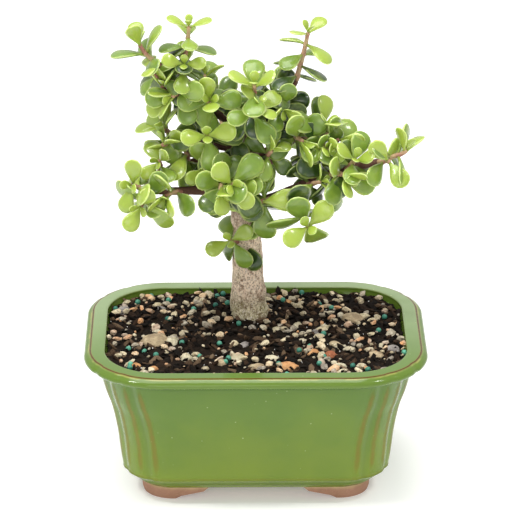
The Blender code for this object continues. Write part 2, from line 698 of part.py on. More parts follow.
# ---- soil and stones ---------------------------------------------------------------
def stone_shape(name, row, grow, mat=None):
    """A rounded, slightly lumpy pebble half sunk in the soil."""
    share_x, share_y, length, wide, high, turn = row
    x = share_x * (POT_LENGTH / 2 - LIP_INSET)
    y = share_y * (POT_DEPTH / 2 - LIP_INSET)
    work = bmesh.new()
    bmesh.ops.create_icosphere(work, subdivisions=2, radius=1.0)
    t = math.radians(turn)
    verts = []
    for v in work.verts:
        u, w, h = v.co
        lump = 1 + 0.07 * math.sin(3.1 * u + turn) + 0.06 * math.sin(4.3 * w + 2 * h + length)
        flat = [u * (length / 2 * MM * lump + grow), w * (wide / 2 * MM * lump + grow),
                h * (high / 2 * MM * lump + grow)]
        verts.append((x + flat[0] * math.cos(t) - flat[1] * math.sin(t),
                      y + flat[0] * math.sin(t) + flat[1] * math.cos(t),
                      SOIL_TOP + 0.12 * high * MM + flat[2]))
    faces = [tuple(v.index for v in f.verts) for f in work.faces]
    work.free()
    return add_object(name, verts, faces, mat)


def make_soil(mat):
    """Soil that fills the pot to a low dome, cut to fit what is set in it."""
    below = [row for row in POT_INSIDE if row[0] * POT_HEIGHT < SOIL_TOP - MM]
    wall = [inside_ring(*row, shrink=GAP) for row in below]
    top = inside_ring(*inside_at(SOIL_TOP / POT_HEIGHT), shrink=GAP)
    floor = [(0.97 * x, 0.97 * y, FLOOR_TOP + GAP) for x, y, _ in wall[-1]]
    rings = [floor] + wall[::-1] + [top]
    foot_x, foot_y = TRUNK_FOOT
    for share in (0.86, 0.62, 0.36, 0.12):
        ring = []
        for x, y, z in top:
            px = foot_x + (x - foot_x) * share
            py = foot_y + (y - foot_y) * share
            rise = SOIL_DOME * (1 - share) ** 1.5
            ripple = 0.35 * MM * math.sin(190 * px + 1.0) * math.cos(230 * py)
            ring.append((px, py, z + rise + ripple * min(1.0, 4 * (1 - share))))
        rings.append(ring)
    soil = add_object("soil", *loft(rings), mat)
    half = [(cells * MESH_PITCH + MESH_BAR) / 2 + GAP for cells in MESH_CELLS]
    pocket = box("mesh_pocket", (-half[0], -half[1], FLOOR_TOP - MM),
                 (half[0], half[1], FLOOR_TOP + GAP + MESH_THICK + GAP))
    combine(soil, pocket, "DIFFERENCE")
    for name, row in STONES.items():
        combine(soil, stone_shape("stone_pocket", row, GAP), "DIFFERENCE")
    combine(soil, trunk_shape("trunk_pocket", GAP), "DIFFERENCE")
    return soil


# ---- build ---------------------------------------------------------------------------
def main():
    clear_scene()
    glaze = material("green_glaze", (0.26, 0.42, 0.14), 0.18)
    plastic = material("mesh_plastic", (0.06, 0.07, 0.07), 0.55)
    earth = material("potting_soil", (0.045, 0.030, 0.022), 0.95)
    bark = material("grey_bark", (0.42, 0.33, 0.27), 0.85)
    twig = material("maroon_bark", (0.16, 0.085, 0.065), 0.75)
    leaf = material("leaf_green", (0.28, 0.46, 0.08), 0.35)
    pebble = material("pebble", (0.52, 0.42, 0.30), 0.8)

    make_pot(glaze)
    make_mesh_strip(plastic)
    make_soil(earth)
    for name, row in STONES.items():
        stone_shape(name, row, 0.0, pebble)
    trunk = trunk_shape("trunk", 0.0, bark)
    woods = {"trunk": object_tree(trunk)}
    for name in LIMBS:
        woods[name] = object_tree(make_limb(name, twig))
    make_shoots(woods, [leaf])


main()
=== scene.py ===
"""Potted dwarf jade: the looks of a small succulent tree in a glazed pot.

Every size is in metres unless its name or comment says millimetres.  The pot
stands on the XY plane with its middle over the origin, its front towards -Y.
"""
import math
import random

import bmesh
import bpy
import numpy as np
from bpy.props import (FloatProperty, FloatVectorProperty, IntProperty,
                       PointerProperty)
from mathutils import Matrix, Vector, kdtree, noise


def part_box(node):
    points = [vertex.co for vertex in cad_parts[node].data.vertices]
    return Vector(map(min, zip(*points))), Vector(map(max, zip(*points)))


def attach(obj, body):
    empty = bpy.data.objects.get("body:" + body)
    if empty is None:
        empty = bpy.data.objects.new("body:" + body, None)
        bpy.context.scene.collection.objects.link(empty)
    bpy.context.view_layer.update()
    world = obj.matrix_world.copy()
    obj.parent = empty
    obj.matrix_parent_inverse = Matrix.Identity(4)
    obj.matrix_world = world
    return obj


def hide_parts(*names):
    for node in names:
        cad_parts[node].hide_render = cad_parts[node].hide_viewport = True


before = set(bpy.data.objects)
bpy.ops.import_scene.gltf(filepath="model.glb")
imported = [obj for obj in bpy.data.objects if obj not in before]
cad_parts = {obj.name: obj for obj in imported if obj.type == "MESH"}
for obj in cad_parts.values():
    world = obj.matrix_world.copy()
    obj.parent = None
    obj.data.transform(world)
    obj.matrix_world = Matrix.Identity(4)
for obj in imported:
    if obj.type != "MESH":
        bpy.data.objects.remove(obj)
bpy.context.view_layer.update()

bl_info = {
    "name": "Potted Dwarf Jade",
    "version": (1, 0, 0),
    "blender": (4, 5, 0),
    "location": "View3D > Sidebar > Jade",
    "description": "Builds a potted dwarf jade from its glazed pot up to its leaves",
    "category": "Object",
}

MM = 0.001

# ---- the pot: its outer size comes from the frame --------------------------------
POT_LOW, POT_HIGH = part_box("pot")
POT_LENGTH = POT_HIGH[0] - POT_LOW[0]
POT_DEPTH = POT_HIGH[1] - POT_LOW[1]
POT_HEIGHT = POT_HIGH[2] - POT_LOW[2]
LIP_INSET = 8.9 * MM
SOIL_TOP = POT_HEIGHT - 4.0 * MM
FLOOR_TOP = 11.2 * MM
FOOT_HEIGHT = 6.2 * MM
FOOT_WALL = 9.5 * MM
DRAIN_RADIUS = 7.0 * MM
DRAIN_SPACING = 48.0 * MM
GROOVE_HALF = 3.4 * MM            # half width of a groove
GROOVE_AWAY = 7.6 * MM            # from the middle of the corner to a groove's middle
GROOVE_LEFT = 0.42                # share of a groove's depth that the glaze leaves open

# Outer profile from the underside up: height over the pot's height, inset from
# the rim, corner radius and groove depth (the last three in millimetres).
POT_OUTSIDE = [
    (0.089, 24.6, 15.0, 0.3),
    (0.097, 23.8, 15.5, 0.5),
    (0.180, 17.6, 20.0, 1.2),
    (0.194, 16.9, 21.0, 1.5),
    (0.314, 15.6, 23.0, 1.6),
    (0.429, 14.5, 25.0, 1.6),
    (0.543, 13.1, 26.0, 1.6),
    (0.643, 11.3, 28.0, 1.6),
    (0.729, 9.2, 29.5, 1.6),
    (0.814, 7.5, 31.0, 1.5),
    (0.893, 6.2, 32.0, 1.4),
    (0.921, 5.0, 33.0, 1.4),
    (0.930, 2.4, 34.2, 1.3),
    (0.941, 0.6, 35.2, 1.2),
    (0.958, 0.0, 35.5, 1.2),
    (0.976, 0.5, 35.2, 1.2),
    (0.990, 1.7, 34.4, 1.1),
    (0.998, 3.0, 33.4, 0.9),
    (1.000, 3.8, 32.6, 0.7),
]
# Inner profile from the lip down: height over the pot's height, inset beyond
# the opening and corner radius in millimetres.
POT_INSIDE = [
    (1.0, 0.0, 27.0),
    (0.991, 0.7, 26.5),
    (0.943, 1.4, 26.0),
    (0.643, 8.2, 21.0),
    (0.286, 12.6, 16.0),
    (0.186, 16.0, 12.5),
]

# Lines along the glaze: share of the pot's height and inset in millimetres.
OUTER_EDGE = (0.997, 2.95)
INNER_EDGE = (0.994, 0.5)
GLEAM_LINE = (0.993, 2.1)
# Heights where the glaze breaks, pools or carries painted shade, as shares of the pot's height.
FOOT_LINE = 0.194
# Under the lip the darker pooled-glaze colour is painted shade in the hollow.
UNDER_LIP = 0.918
CHAMFER_MIDDLE = 0.14
FLUSH = 0.97                      # a floor's outline beside the lowest ring's
CLEARANCE = 0.3 * MM              # between the soil and the pot

# ---- the plant, in millimetres from the foot of the trunk ----------------------
TRUNK_FOOT = (-2.4 * MM, 22.0 * MM)

# Centre line and radius of the trunk: x, y, height, radius.
TRUNK = [
    (2, 2, -20, 4.5),
    (1, 1, -12, 7.6),
    (0, 0, -3, 9.3),
    (0, 0, 3, 9.1),
    (-1, 0, 8, 8.2),
    (-1, -1, 15, 7.4),
    (-1, -2, 32, 7.1),
    (-2, -3, 49, 6.7),
    (-2, -3, 64, 5.7),
    (-1, -2, 79, 4.9),
    (1, -2, 92, 4.3),
    (3, -5, 103, 3.5),
]
ROOT_HEADINGS = (15, 88, 160, 232, 305)
ROOT_REACH = 17
KNOT = (6.5, -4, 14)
SCAR = (-3.2, -10, 31.8)
HEART = (0, 4, 80)                # middle of the crown, where leaves are oldest and get the most painted shade

# Limbs: radius at the trunk and at the end, then points along the middle.
LIMBS = {
    "low_left": (2.9, 1.3, [(-3, -4, 59), (-10, -8, 64), (-20, -13, 68),
                            (-31, -16, 69), (-41, -19, 70), (-47, -21, 71)]),
    "mid_left": (2.6, 1.3, [(-1, -2, 69), (-9, 0, 74), (-19, 2, 77),
                            (-28, 0, 76), (-35, -4, 73), (-41, -8, 72)]),
    "high_left": (2.6, 1.2, [(-1, -1, 83), (-11, 4, 83), (-23, 6, 84),
                             (-31, 4, 87), (-36, 0, 91)]),
    "top_left": (3.0, 1.3, [(1, -1, 89), (-7, 2, 95), (-16, 2, 101),
                            (-23, 0, 105), (-29, -2, 110), (-32, -5, 116),
                            (-30, -7, 123)]),
    "low_right": (3.2, 1.5, [(-1, -5, 54), (6, -8, 60), (14, -12, 65),
                             (23, -14, 70), (32, -15, 75), (40, -16, 78),
                             (49, -17, 81), (56, -18, 83), (61, -18, 85)]),
    "mid_right": (2.6, 1.3, [(0, -1, 74), (7, 3, 80), (16, 4, 84),
                             (24, 2, 89), (31, -1, 92)]),
    "top_right": (2.8, 1.5, [(2, -2, 96), (8, 1, 101), (14, 1, 107),
                             (18, -1, 112), (21, -3, 117)]),
    "back_left": (2.6, 1.2, [(-1, 1, 79), (-3, 12, 79), (-6, 20, 80),
                             (-11, 26, 82)]),
    "back_right": (2.6, 1.2, [(0, 0, 69), (4, 12, 69), (10, 19, 70),
                              (16, 25, 72)]),
}

# Shoots, front ones first: name, wood it grows from, share along that wood,
# tip, heading and rise of the tip, roll of the first pair, pairs of leaves,
# leaf length, opening of the first pair, spacing of the pairs.
SHOOTS = [
    ("a1", "top_left", 0.90, (-49, -10, 137), 160, 70, 20, 2, 15.0, 28, 4.5),
    ("a2", "top_left", 1.00, (-27, -10, 145), -90, 80, 0, 4, 13.0, 58, 5.0),
    ("a3", "top_left", 0.86, (-29, -15, 129), -90, 35, 0, 2, 13.0, 62, 4.0),
    ("a4", "top_left", 0.80, (-39, -12, 118), -80, 70, 150, 2, 14.0, 25, 4.0),
    ("a5", "top_left", 0.70, (-35, -16, 114), -170, -20, 90, 2, 14.5, 30, 4.0),
    ("a6", "top_left", 0.52, (-20, -6, 121), 90, 70, 160, 2, 12.5, 45, 4.0),
    ("a7", "top_left", 0.42, (-18, -16, 112), -90, 35, 95, 3, 15.0, 40, 3.5),
    ("a8", "top_left", 0.84, (-45, -15, 127), 170, 70, 10, 1, 11.0, 75, 4.5),
    ("b1", "trunk", 1.00, (2, -18, 120), -90, 62, 0, 3, 16.0, 48, 4.5),
    ("b2", "trunk", 0.93, (3, -22, 112), -50, 60, 90, 2, 14.0, 65, 4.0),
    ("c1", "top_right", 1.00, (26, -4, 140), -60, 80, 20, 5, 14.0, 70, 5.2),
    ("c2", "top_right", 0.35, (15, -14, 107), -70, -20, 150, 2, 13.0, 35, 4.0),
    ("d1", "mid_right", 0.82, (34, -8, 98), -40, 60, 60, 2, 16.5, 40, 4.0),
    ("d2", "mid_right", 1.00, (40, -14, 92), -60, 0, 10, 1, 12.5, 35, 4.0),
    ("d3", "mid_right", 0.60, (24, -16, 92), -30, -40, 20, 2, 15.5, 20, 4.0),
    ("d4", "mid_right", 0.40, (10, -20, 90), 0, 50, 130, 2, 12.5, 45, 4.0),
    ("d5", "mid_right", 0.76, (35, -20, 91), -80, 20, 40, 2, 11.0, 20, 3.5),
    ("e1", "low_right", 0.66, (47, -24, 87), -80, 50, 160, 3, 14.0, 45, 3.0),
    ("e2", "low_right", 0.90, (62, -25, 86), -90, 10, 130, 1, 14.0, 55, 4.0),
    ("e3", "low_right", 1.00, (70, -20, 90), 50, 60, 80, 2, 15.5, 45, 4.0),
    ("e4", "low_right", 0.55, (43, -27, 80), -60, -10, 60, 2, 15.5, 25, 4.0),
    ("e5", "low_right", 0.40, (32, -23, 76), -10, 20, 100, 2, 11.0, 55, 4.0),
    ("e6", "low_right", 0.36, (26, -30, 57), -88, 25, 40, 3, 17.5, 70, 3.5),
    ("e7", "low_right", 0.20, (5, -22, 66), -92, 15, 0, 1, 17.0, 78, 4.0),
    ("f1", "trunk", 0.70, (-8, -30, 77), -80, 10, 130, 3, 17.0, 70, 3.5),
    ("f2", "low_left", 0.22, (-13, -28, 74), -80, -30, 80, 2, 15.5, 20, 3.5),
    ("f3", "trunk", 0.75, (-4, -20, 77), -20, -30, 0, 2, 15.5, 20, 4.0),
    ("g1", "high_left", 0.52, (-19, -20, 97), -90, 25, 10, 3, 16.5, 62, 3.5),
    ("g2", "mid_left", 0.35, (-20, -16, 79), -100, 0, 20, 2, 14.0, 45, 4.0),
    ("g3", "mid_left", 0.60, (-29, -10, 85), -120, 20, 100, 1, 14.0, 45, 4.0),
    ("h1", "low_left", 1.00, (-53, -24, 75), -110, 10, 80, 2, 16.5, 65, 4.0),
    ("h2", "low_left", 0.85, (-49, -30, 67), -105, -10, 60, 2, 15.5, 60, 3.5),
    ("h3", "mid_left", 1.00, (-41, -16, 83), -115, 10, 50, 2, 13.0, 55, 4.0),
    ("h4", "high_left", 1.00, (-39, -6, 96), -160, 60, 60, 2, 15.5, 55, 4.0),
    ("h5", "high_left", 0.90, (-39, -10, 90), 90, 60, 120, 2, 14.0, 85, 4.0),
    ("h6", "low_left", 0.58, (-38, -26, 70), -110, -20, 160, 2, 15.5, 25, 4.0),
    ("i1", "trunk", 0.58, (-9, -14, 44), -95, 25, 30, 2, 14.0, 72, 3.5),
    ("r1", "back_left", 0.90, (-14, 28, 90), 110, 55, 20, 3, 13.0, 45, 4.5),
    ("r2", "back_left", 0.50, (0, 20, 90), 60, 60, 70, 2, 13.5, 50, 4.5),
    ("r3", "back_right", 0.90, (21, 27, 79), 60, 55, 10, 3, 13.0, 45, 4.5),
    ("r4", "back_right", 0.55, (5, 23, 62), 90, -10, 60, 2, 13.5, 55, 4.5),
    ("r5", "top_right", 0.50, (12, 16, 106), 80, 50, 30, 3, 13.5, 45, 4.5),
    ("r6", "top_left", 0.45, (-14, 18, 102), 100, 50, 30, 3, 13.5, 45, 4.5),
    ("r7", "low_right", 0.45, (28, 4, 84), 70, 50, 40, 3, 13.5, 50, 4.5),
]
SHOOT_GROUPS = {"a": "top_left", "b": "crown", "c": "top_right", "d": "mid_right",
                "e": "low_right", "f": "front", "g": "mid_left", "h": "low_left",
                "i": "trunk", "r": "back"}
STEM_HALF = 0.85                  # half width of a young stem, millimetres
PAIR_OPEN = 24                    # each older pair stands so much wider open
OPEN_LIMIT = 100                  # widest opening of an old pair, degrees
LEAF_TUCK = 8                     # degrees a leaf stands closer than its pair
YOUNG_SIZE = 0.8                  # length of the youngest pair beside the others

# A leaf along its length: share, half width and half thickness over its length.
LEAF_OUTLINE = [
    (0.00, 0.050, 0.045),
    (0.12, 0.075, 0.050),
    (0.28, 0.170, 0.066),
    (0.45, 0.262, 0.078),
    (0.62, 0.322, 0.080),
    (0.77, 0.318, 0.072),
    (0.89, 0.250, 0.056),
    (0.97, 0.135, 0.034),
]

# ---- stones in the soil ----------------------------------------------------------
# Node of the frame or None, x, y, length, width, height, turn, colour name.
STONES = [
    ("stone_broad_tan", -45.5, -8.0, 13.5, 10.5, 8.0, 20, "tan"),
    ("stone_flat_tan", 45.0, 17.5, 12.0, 9.0, 6.0, -25, "tan"),
    ("stone_round_grey", -61.0, 27.0, 8.2, 7.0, 5.6, 40, "grey"),
    (None, -38.0, -8.5, 8.0, 6.5, 6.0, 70, "cream"),
    (None, -31.0, -27.0, 5.8, 5.4, 4.8, 0, "cream"),
    (None, -8.3, -27.5, 7.6, 6.4, 5.4, 30, "cream"),
    (None, -15.5, -32.5, 6.6, 5.0, 4.6, 60, "tan"),
    (None, 0.2, -37.5, 8.2, 5.6, 4.8, 5, "tan"),
    (None, 7.3, -28.0, 7.2, 5.4, 4.6, -20, "cream"),
    (None, 14.2, -36.5, 9.6, 6.2, 5.4, -10, "orange"),
    (None, 25.8, -21.3, 7.4, 4.6, 4.4, 0, "orange"),
    (None, 33.5, -24.0, 6.6, 5.4, 4.8, 40, "red"),
    (None, 36.5, -13.0, 9.8, 4.8, 4.4, -50, "tan"),
    (None, 37.5, -36.0, 6.6, 4.8, 4.0, 0, "cream"),
    (None, 53.0, -25.0, 9.0, 6.2, 5.0, 10, "tan"),
    (None, 56.3, -14.0, 4.6, 4.4, 4.0, 0, "cream"),
    (None, 61.5, -18.5, 7.2, 6.8, 5.6, 0, "grey"),
    (None, -15.5, 32.0, 7.4, 5.2, 4.6, 10, "orange"),
    (None, 9.5, 41.0, 6.5, 4.6, 4.6, 0, "cream"),
    (None, 15.4, 36.5, 4.8, 4.6, 4.4, 0, "orange"),
    (None, 9.8, 16.5, 5.0, 4.6, 4.2, 0, "cream"),
    (None, 10.0, 5.0, 5.4, 4.8, 4.4, 30, "cream"),
    (None, 19.5, 10.0, 6.4, 4.4, 4.2, 80, "cream"),
    (None, 1.6, 4.0, 4.0, 3.6, 3.6, 0, "orange"),
    (None, 33.5, 32.0, 7.0, 4.0, 3.8, 0, "tan"),
    (None, -54.0, -34.5, 5.6, 4.0, 3.8, 0, "orange"),
    (None, -46.0, -38.0, 5.0, 3.8, 3.6, 0, "orange"),
    (None, -30.4, -1.5, 4.4, 4.0, 3.8, 0, "orange"),
    (None, -44.0, 30.0, 5.6, 4.4, 4.0, 20, "grey"),
    (None, -29.0, 14.0, 6.0, 4.0, 3.8, -30, "tan"),
    (None, 28.0, 2.0, 5.4, 4.4, 4.0, 15, "grey"),
    (None, -5.0, -12.0, 5.6, 4.2, 4.0, 35, "grey"),
]
STONE_COLOURS = {
    "tan": ((0.46, 0.36, 0.22), (0.27, 0.20, 0.12)),
    "cream": ((0.60, 0.54, 0.38), (0.36, 0.31, 0.20)),
    "grey": ((0.34, 0.31, 0.28), (0.15, 0.13, 0.12)),
    "orange": ((0.62, 0.34, 0.15), (0.42, 0.20, 0.08)),
    "red": ((0.50, 0.19, 0.085), (0.30, 0.10, 0.045)),
}


# ---- shapes ------------------------------------------------------------------------
def unit(v):
    return v / np.linalg.norm(v)


def smooth_path(points, count):
    """Points evenly shared along a curve through the given points."""
    pts = np.array(points, float)
    ends = np.vstack([2 * pts[0] - pts[1], pts, 2 * pts[-1] - pts[-2]])
    spans = len(pts) - 1
    out = []
    for s in np.linspace(0, spans, count):
        i = min(int(s), spans - 1)
        t = s - i
        a, b, c, d = ends[i:i + 4]
        out.append(0.5 * (2 * b + (c - a) * t + (2 * a - 5 * b + 4 * c - d) * t * t
                          + (3 * b - a - 3 * c + d) * t ** 3))
    return np.array(out)


def loft(rings):
    """Points and faces through rings of equal length, capped at both ends."""
    count = len(rings[0])
    verts = [tuple(p) for ring in rings for p in ring]
    faces = []
    for i in range(len(rings) - 1):
        a = i * count
        b = a + count
        for j in range(count):
            k = (j + 1) % count
            faces.append((a + j, a + k, b + k, b + j))
    faces.append(tuple(range(count))[::-1])
    last = (len(rings) - 1) * count
    faces.append(tuple(range(last, last + count)))
    return verts, faces


def tube(path, radii, sides):
    """A closed tube round a path, carried along it without twisting."""
    rings = []
    side = None
    for i, centre in enumerate(path):
        ahead = unit(path[min(i + 1, len(path) - 1)] - path[max(i - 1, 0)])
        if side is None:
            side = unit(np.cross(ahead, [0.0, 0.3, 1.0]))
        side = unit(side - ahead * (side @ ahead))
        other = np.cross(ahead, side)
        turns = [2 * math.pi * k / sides for k in range(sides)]
        rings.append([centre + radii[i] * (math.cos(t) * side + math.sin(t) * other)
                      for t in turns])
    return loft(rings)


def gather(parts):
    """Several (points, faces) pairs as one."""
    verts = []
    faces = []
    for more_verts, more_faces in parts:
        start = len(verts)
        verts += [tuple(v) for v in more_verts]
        faces += [tuple(i + start for i in face) for face in more_faces]
    return verts, faces


def make_object(name, verts, faces, mat=None, smooth=True):
    """An object from points and faces, with every face turned outward."""
    mesh = bpy.data.meshes.new(name)
    mesh.from_pydata([tuple(float(c) for c in v) for v in verts], [], faces)
    work = bmesh.new()
    work.from_mesh(mesh)
    bmesh.ops.recalc_face_normals(work, faces=work.faces)
    work.to_mesh(mesh)
    work.free()
    mesh.polygons.foreach_set("use_smooth", [smooth] * len(mesh.polygons))
    thing = bpy.data.objects.new(name, mesh)
    bpy.context.scene.collection.objects.link(thing)
    if mat:
        mesh.materials.append(mat)
    return thing


def bake_modifiers(thing):
    """Turn an object and its modifiers into a plain mesh."""
    bpy.context.view_layer.update()
    graph = bpy.context.evaluated_depsgraph_get()
    result = bpy.data.meshes.new_from_object(thing.evaluated_get(graph),
                                             preserve_all_data_layers=True,
                                             depsgraph=graph)
    thing.modifiers.clear()
    old = thing.data
    thing.data = result
    bpy.data.meshes.remove(old)
    result.name = thing.name
    return thing


def cut(target, cutter, operation="DIFFERENCE"):
    mod = target.modifiers.new("cut", "BOOLEAN")
    mod.operation = operation
    mod.solver = "EXACT"
    mod.object = cutter
    bake_modifiers(target)
    bpy.data.objects.remove(cutter, do_unlink=True)


def store(mesh, name, values, kind="FLOAT"):
    """Write one value or vector for each point of a mesh."""
    layer = mesh.attributes.new(name, kind, "POINT")
    flat = np.array(values, np.float32).ravel()
    layer.data.foreach_set("vector" if kind == "FLOAT_VECTOR" else "value", flat)


# ---- shader maths --------------------------------------------------------------------
class Wire:
    """A number in a material's node tree that can be used in sums and products."""

    def __init__(self, paint, socket):
        self.paint = paint
        self.socket = socket

    def maths(self, operation, other=None, swapped=False):
        values = {0: self} if other is None else {0: self, 1: other}
        if swapped:
            values = {0: other, 1: self}
        return self.paint.node("ShaderNodeMath", {"operation": operation}, values)

    def __add__(self, other):
        return self.maths("ADD", other)

    def __radd__(self, other):
        return self.maths("ADD", other, True)

    def __sub__(self, other):
        return self.maths("SUBTRACT", other)

    def __rsub__(self, other):
        return self.maths("SUBTRACT", other, True)

    def __mul__(self, other):
        return self.maths("MULTIPLY", other)

    def __rmul__(self, other):
        return self.maths("MULTIPLY", other, True)

    def __truediv__(self, other):
        return self.maths("DIVIDE", other)

    def __rtruediv__(self, other):
        return self.maths("DIVIDE", other, True)


class Paint:
    """A material and the nodes that feed its shader."""

    def __init__(self, name, **fixed):
        self.mat = bpy.data.materials.new(name)
        self.mat.use_nodes = True
        self.tree = self.mat.node_tree
        self.shader = self.tree.nodes["Principled BSDF"]
        for socket, value in fixed.items():
            self.shader.inputs[socket.replace("_", " ")].default_value = value

    def node(self, kind, settings=None, values=None, out=0):
        """Add a node: its settings first, then the values or links of its sockets."""
        made = self.tree.nodes.new(kind)
        for key, value in (settings or {}).items():
            if key == "stops":
                self.set_stops(made.color_ramp, value)
            else:
                setattr(made, key, value)
        for key, value in (values or {}).items():
            self.feed(made.inputs[key], value)
        return Wire(self, made.outputs[out])

    @staticmethod
    def set_stops(ramp, stops):
        while len(ramp.elements) < len(stops):
            ramp.elements.new(1.0)
        for element, (place, colour) in zip(ramp.elements, stops):
            element.position = place
            element.color = (*colour, 1.0)

    def feed(self, socket, value):
        if isinstance(value, Wire):
            self.tree.links.new(value.socket, socket)
        elif socket.type == "RGBA" and len(value) == 3:
            socket.default_value = (*value, 1.0)
        else:
            socket.default_value = value

    def set(self, name, value):
        self.feed(self.shader.inputs[name], value)

    def place(self, stretch=(1.0, 1.0, 1.0)):
        """Object coordinates, stretched along the axes."""
        raw = self.node("ShaderNodeTexCoord", out="Object")
        return self.node("ShaderNodeMapping", None, {"Vector": raw, "Scale": stretch})

    def spots(self, size, detail=3.0, rough=0.55, where=None):
        """Noise from 0 to 1 whose features measure about size metres."""
        values = {"Scale": 1.0 / size, "Detail": detail, "Roughness": rough,
                  "Vector": where if where is not None else self.place()}
        return self.node("ShaderNodeTexNoise", None, values, "Fac")

    def cells(self, size):
        """Distance to the nearest of many points that lie about size metres apart."""
        values = {"Scale": 1.0 / size, "Vector": self.place()}
        return self.node("ShaderNodeTexVoronoi", None, values, "Distance")

    def band(self, value, low, high):
        """0 below low, 1 above high and a soft step between; low may be the greater."""
        return self.node("ShaderNodeMapRange", {"interpolation_type": "SMOOTHSTEP"},
                         {0: value, 1: low, 2: high, 3: 0.0, 4: 1.0})

    def mix(self, share, first, second):
        """A colour between two colours."""
        return self.node("ShaderNodeMix", {"data_type": "RGBA"},
                         {0: share, 6: first, 7: second}, 2)

    def ramp(self, value, stops):
        return self.node("ShaderNodeValToRGB", {"stops": stops}, {0: value}, "Color")

    def kept(self, name):
        """A number stored on the points of the mesh."""
        return self.node("ShaderNodeAttribute", {"attribute_name": name}, None, "Fac")

    def axis(self, name):
        """One of the object's own coordinates, in metres."""
        raw = self.node("ShaderNodeTexCoord", out="Object")
        return self.node("ShaderNodeSeparateXYZ", None, {0: raw}, name)

    def bump(self, height, depth):
        """Roughen the surface; height is 0 to 1 and depth is in metres."""
        self.set("Normal", self.node("ShaderNodeBump", None, {
            "Height": height, "Distance": depth, "Strength": 1.0}))


# ---- materials -----------------------------------------------------------------------
def glaze_paint(pot):
    """Green glaze that thins to brown on the edges and pools in the grooves, with painted shade
    under the lip and a darker band on the chamfer.
    """
    paint = Paint("green_glaze", IOR=1.5, Coat_Roughness=0.05, Specular_IOR_Level=0.22)
    up = paint.axis("Z") / POT_HEIGHT
    cloud = paint.spots(0.030, 3.0)
    fine = paint.spots(0.0016, 3.0)
    body = paint.mix(paint.band(up + (cloud - 0.5) * 0.5, 0.15, 0.95),
                     pot.glaze_low, pot.glaze_high)
    lip = paint.mix(paint.band(paint.axis("Y") + (cloud - 0.5) * 0.02, -0.052, 0.040),
                    pot.glaze_lip, pot.glaze_pale)
    body = paint.mix(paint.band(up, 0.990, 0.9985), body, lip)
    body = paint.mix(paint.band(up, 0.936, 0.955) * paint.band(up, 0.995, 0.985) * 0.8, body,
                     pot.glaze_roll)
    # Darker pooled glaze in the grooves and on the chamfer; under the lip the same darkening is
    # painted shade.
    body = paint.mix(paint.kept("pool") * 0.55, body, pot.glaze_pool_and_shade)
    body = paint.mix(paint.band(cloud, 0.45, 0.8) * 0.35, body, pot.glaze_high)
    specks = paint.band(paint.cells(0.0042), 0.10, 0.05) * paint.band(fine, 0.45, 0.6)
    body = paint.mix(specks * 0.35, body, (0.75, 0.85, 0.45))
    pits = paint.band(paint.cells(0.0075), 0.055, 0.03)
    body = paint.mix(pits * 0.5, body, (0.10, 0.14, 0.02))
    wear = paint.kept("wear") + (fine - 0.5) * 0.35 * paint.band(paint.kept("wear"), 0.05, 0.4)
    streak = paint.band(paint.spots(0.012, 3.0), 0.42, 0.60)
    body = paint.mix(paint.kept("gleam") * (0.15 + streak * 0.6), body, pot.glaze_gleam)
    body = paint.mix(paint.band(wear, 0.22, 0.95) * 0.9, body, pot.glaze_break)
    body = paint.mix(paint.band(wear, 0.62, 0.95) * 0.85, body, (0.060, 0.028, 0.007))
    paint.set("Base Color", body)
    rough = paint.band(wear, 0.15, 0.5) * paint.band(up, 0.95, 0.93)
    shade = paint.band(paint.kept("pool"), 0.3, 0.9)
    paint.set("Roughness", 0.10 + cloud * 0.10 + rough * 0.35 + shade * 0.45)
    paint.set("Coat Weight", 0.22 - pits * 0.1 - rough * 0.2 - shade * 0.2
              + paint.kept("gleam") * 0.25)
    paint.bump(paint.spots(0.010, 2.0) * 0.8 + fine * 0.2, 0.00018)
    return paint.mat


def clay_paint(pot):
    """Bare terracotta of the feet, with a tan fringe where the glaze ends."""
    paint = Paint("bare_clay", IOR=1.45)
    grain = paint.spots(0.0009, 4.0)
    cloud = paint.spots(0.008, 3.0)
    body = paint.mix(cloud, pot.clay, (0.44, 0.24, 0.16))
    body = paint.mix(paint.band(grain, 0.6, 0.75) * 0.5, body, (0.62, 0.42, 0.30))
    fringe = paint.band(paint.axis("Z") + (cloud - 0.5) * 0.003, 0.0040, 0.0062)
    body = paint.mix(fringe * 0.7, body, (0.52, 0.38, 0.20))
    paint.set("Base Color", body)
    paint.set("Roughness", 0.75 + grain * 0.2)
    paint.bump(grain, 0.00025)
    return paint.mat


def mesh_paint():
    paint = Paint("drain_plastic", IOR=1.46)
    worn = paint.spots(0.004, 3.0)
    paint.set("Base Color", paint.mix(worn, (0.035, 0.045, 0.042), (0.075, 0.085, 0.08)))
    paint.set("Roughness", 0.45 + worn * 0.25)
    paint.bump(worn, 0.0001)
    return paint.mat


def earth_paint():
    """Dark moist potting mix."""
    paint = Paint("potting_mix", IOR=1.4, Specular_IOR_Level=0.15)
    clod = paint.spots(0.004, 5.0, 0.65)
    grain = paint.spots(0.0011, 4.0, 0.6)
    body = paint.ramp(clod * 0.55 + grain * 0.45,
                      [(0.30, (0.003, 0.0022, 0.0016)), (0.55, (0.013, 0.008, 0.005)),
                       (0.72, (0.045, 0.028, 0.017)), (0.85, (0.12, 0.085, 0.055))])
    body = paint.mix(paint.band(paint.cells(0.0035), 0.09, 0.04), body, (0.40, 0.33, 0.24))
    paint.set("Base Color", body)
    paint.set("Roughness", 0.8 + grain * 0.2)
    paint.bump(clod * 0.6 + grain * 0.4, 0.0012)
    return paint.mat


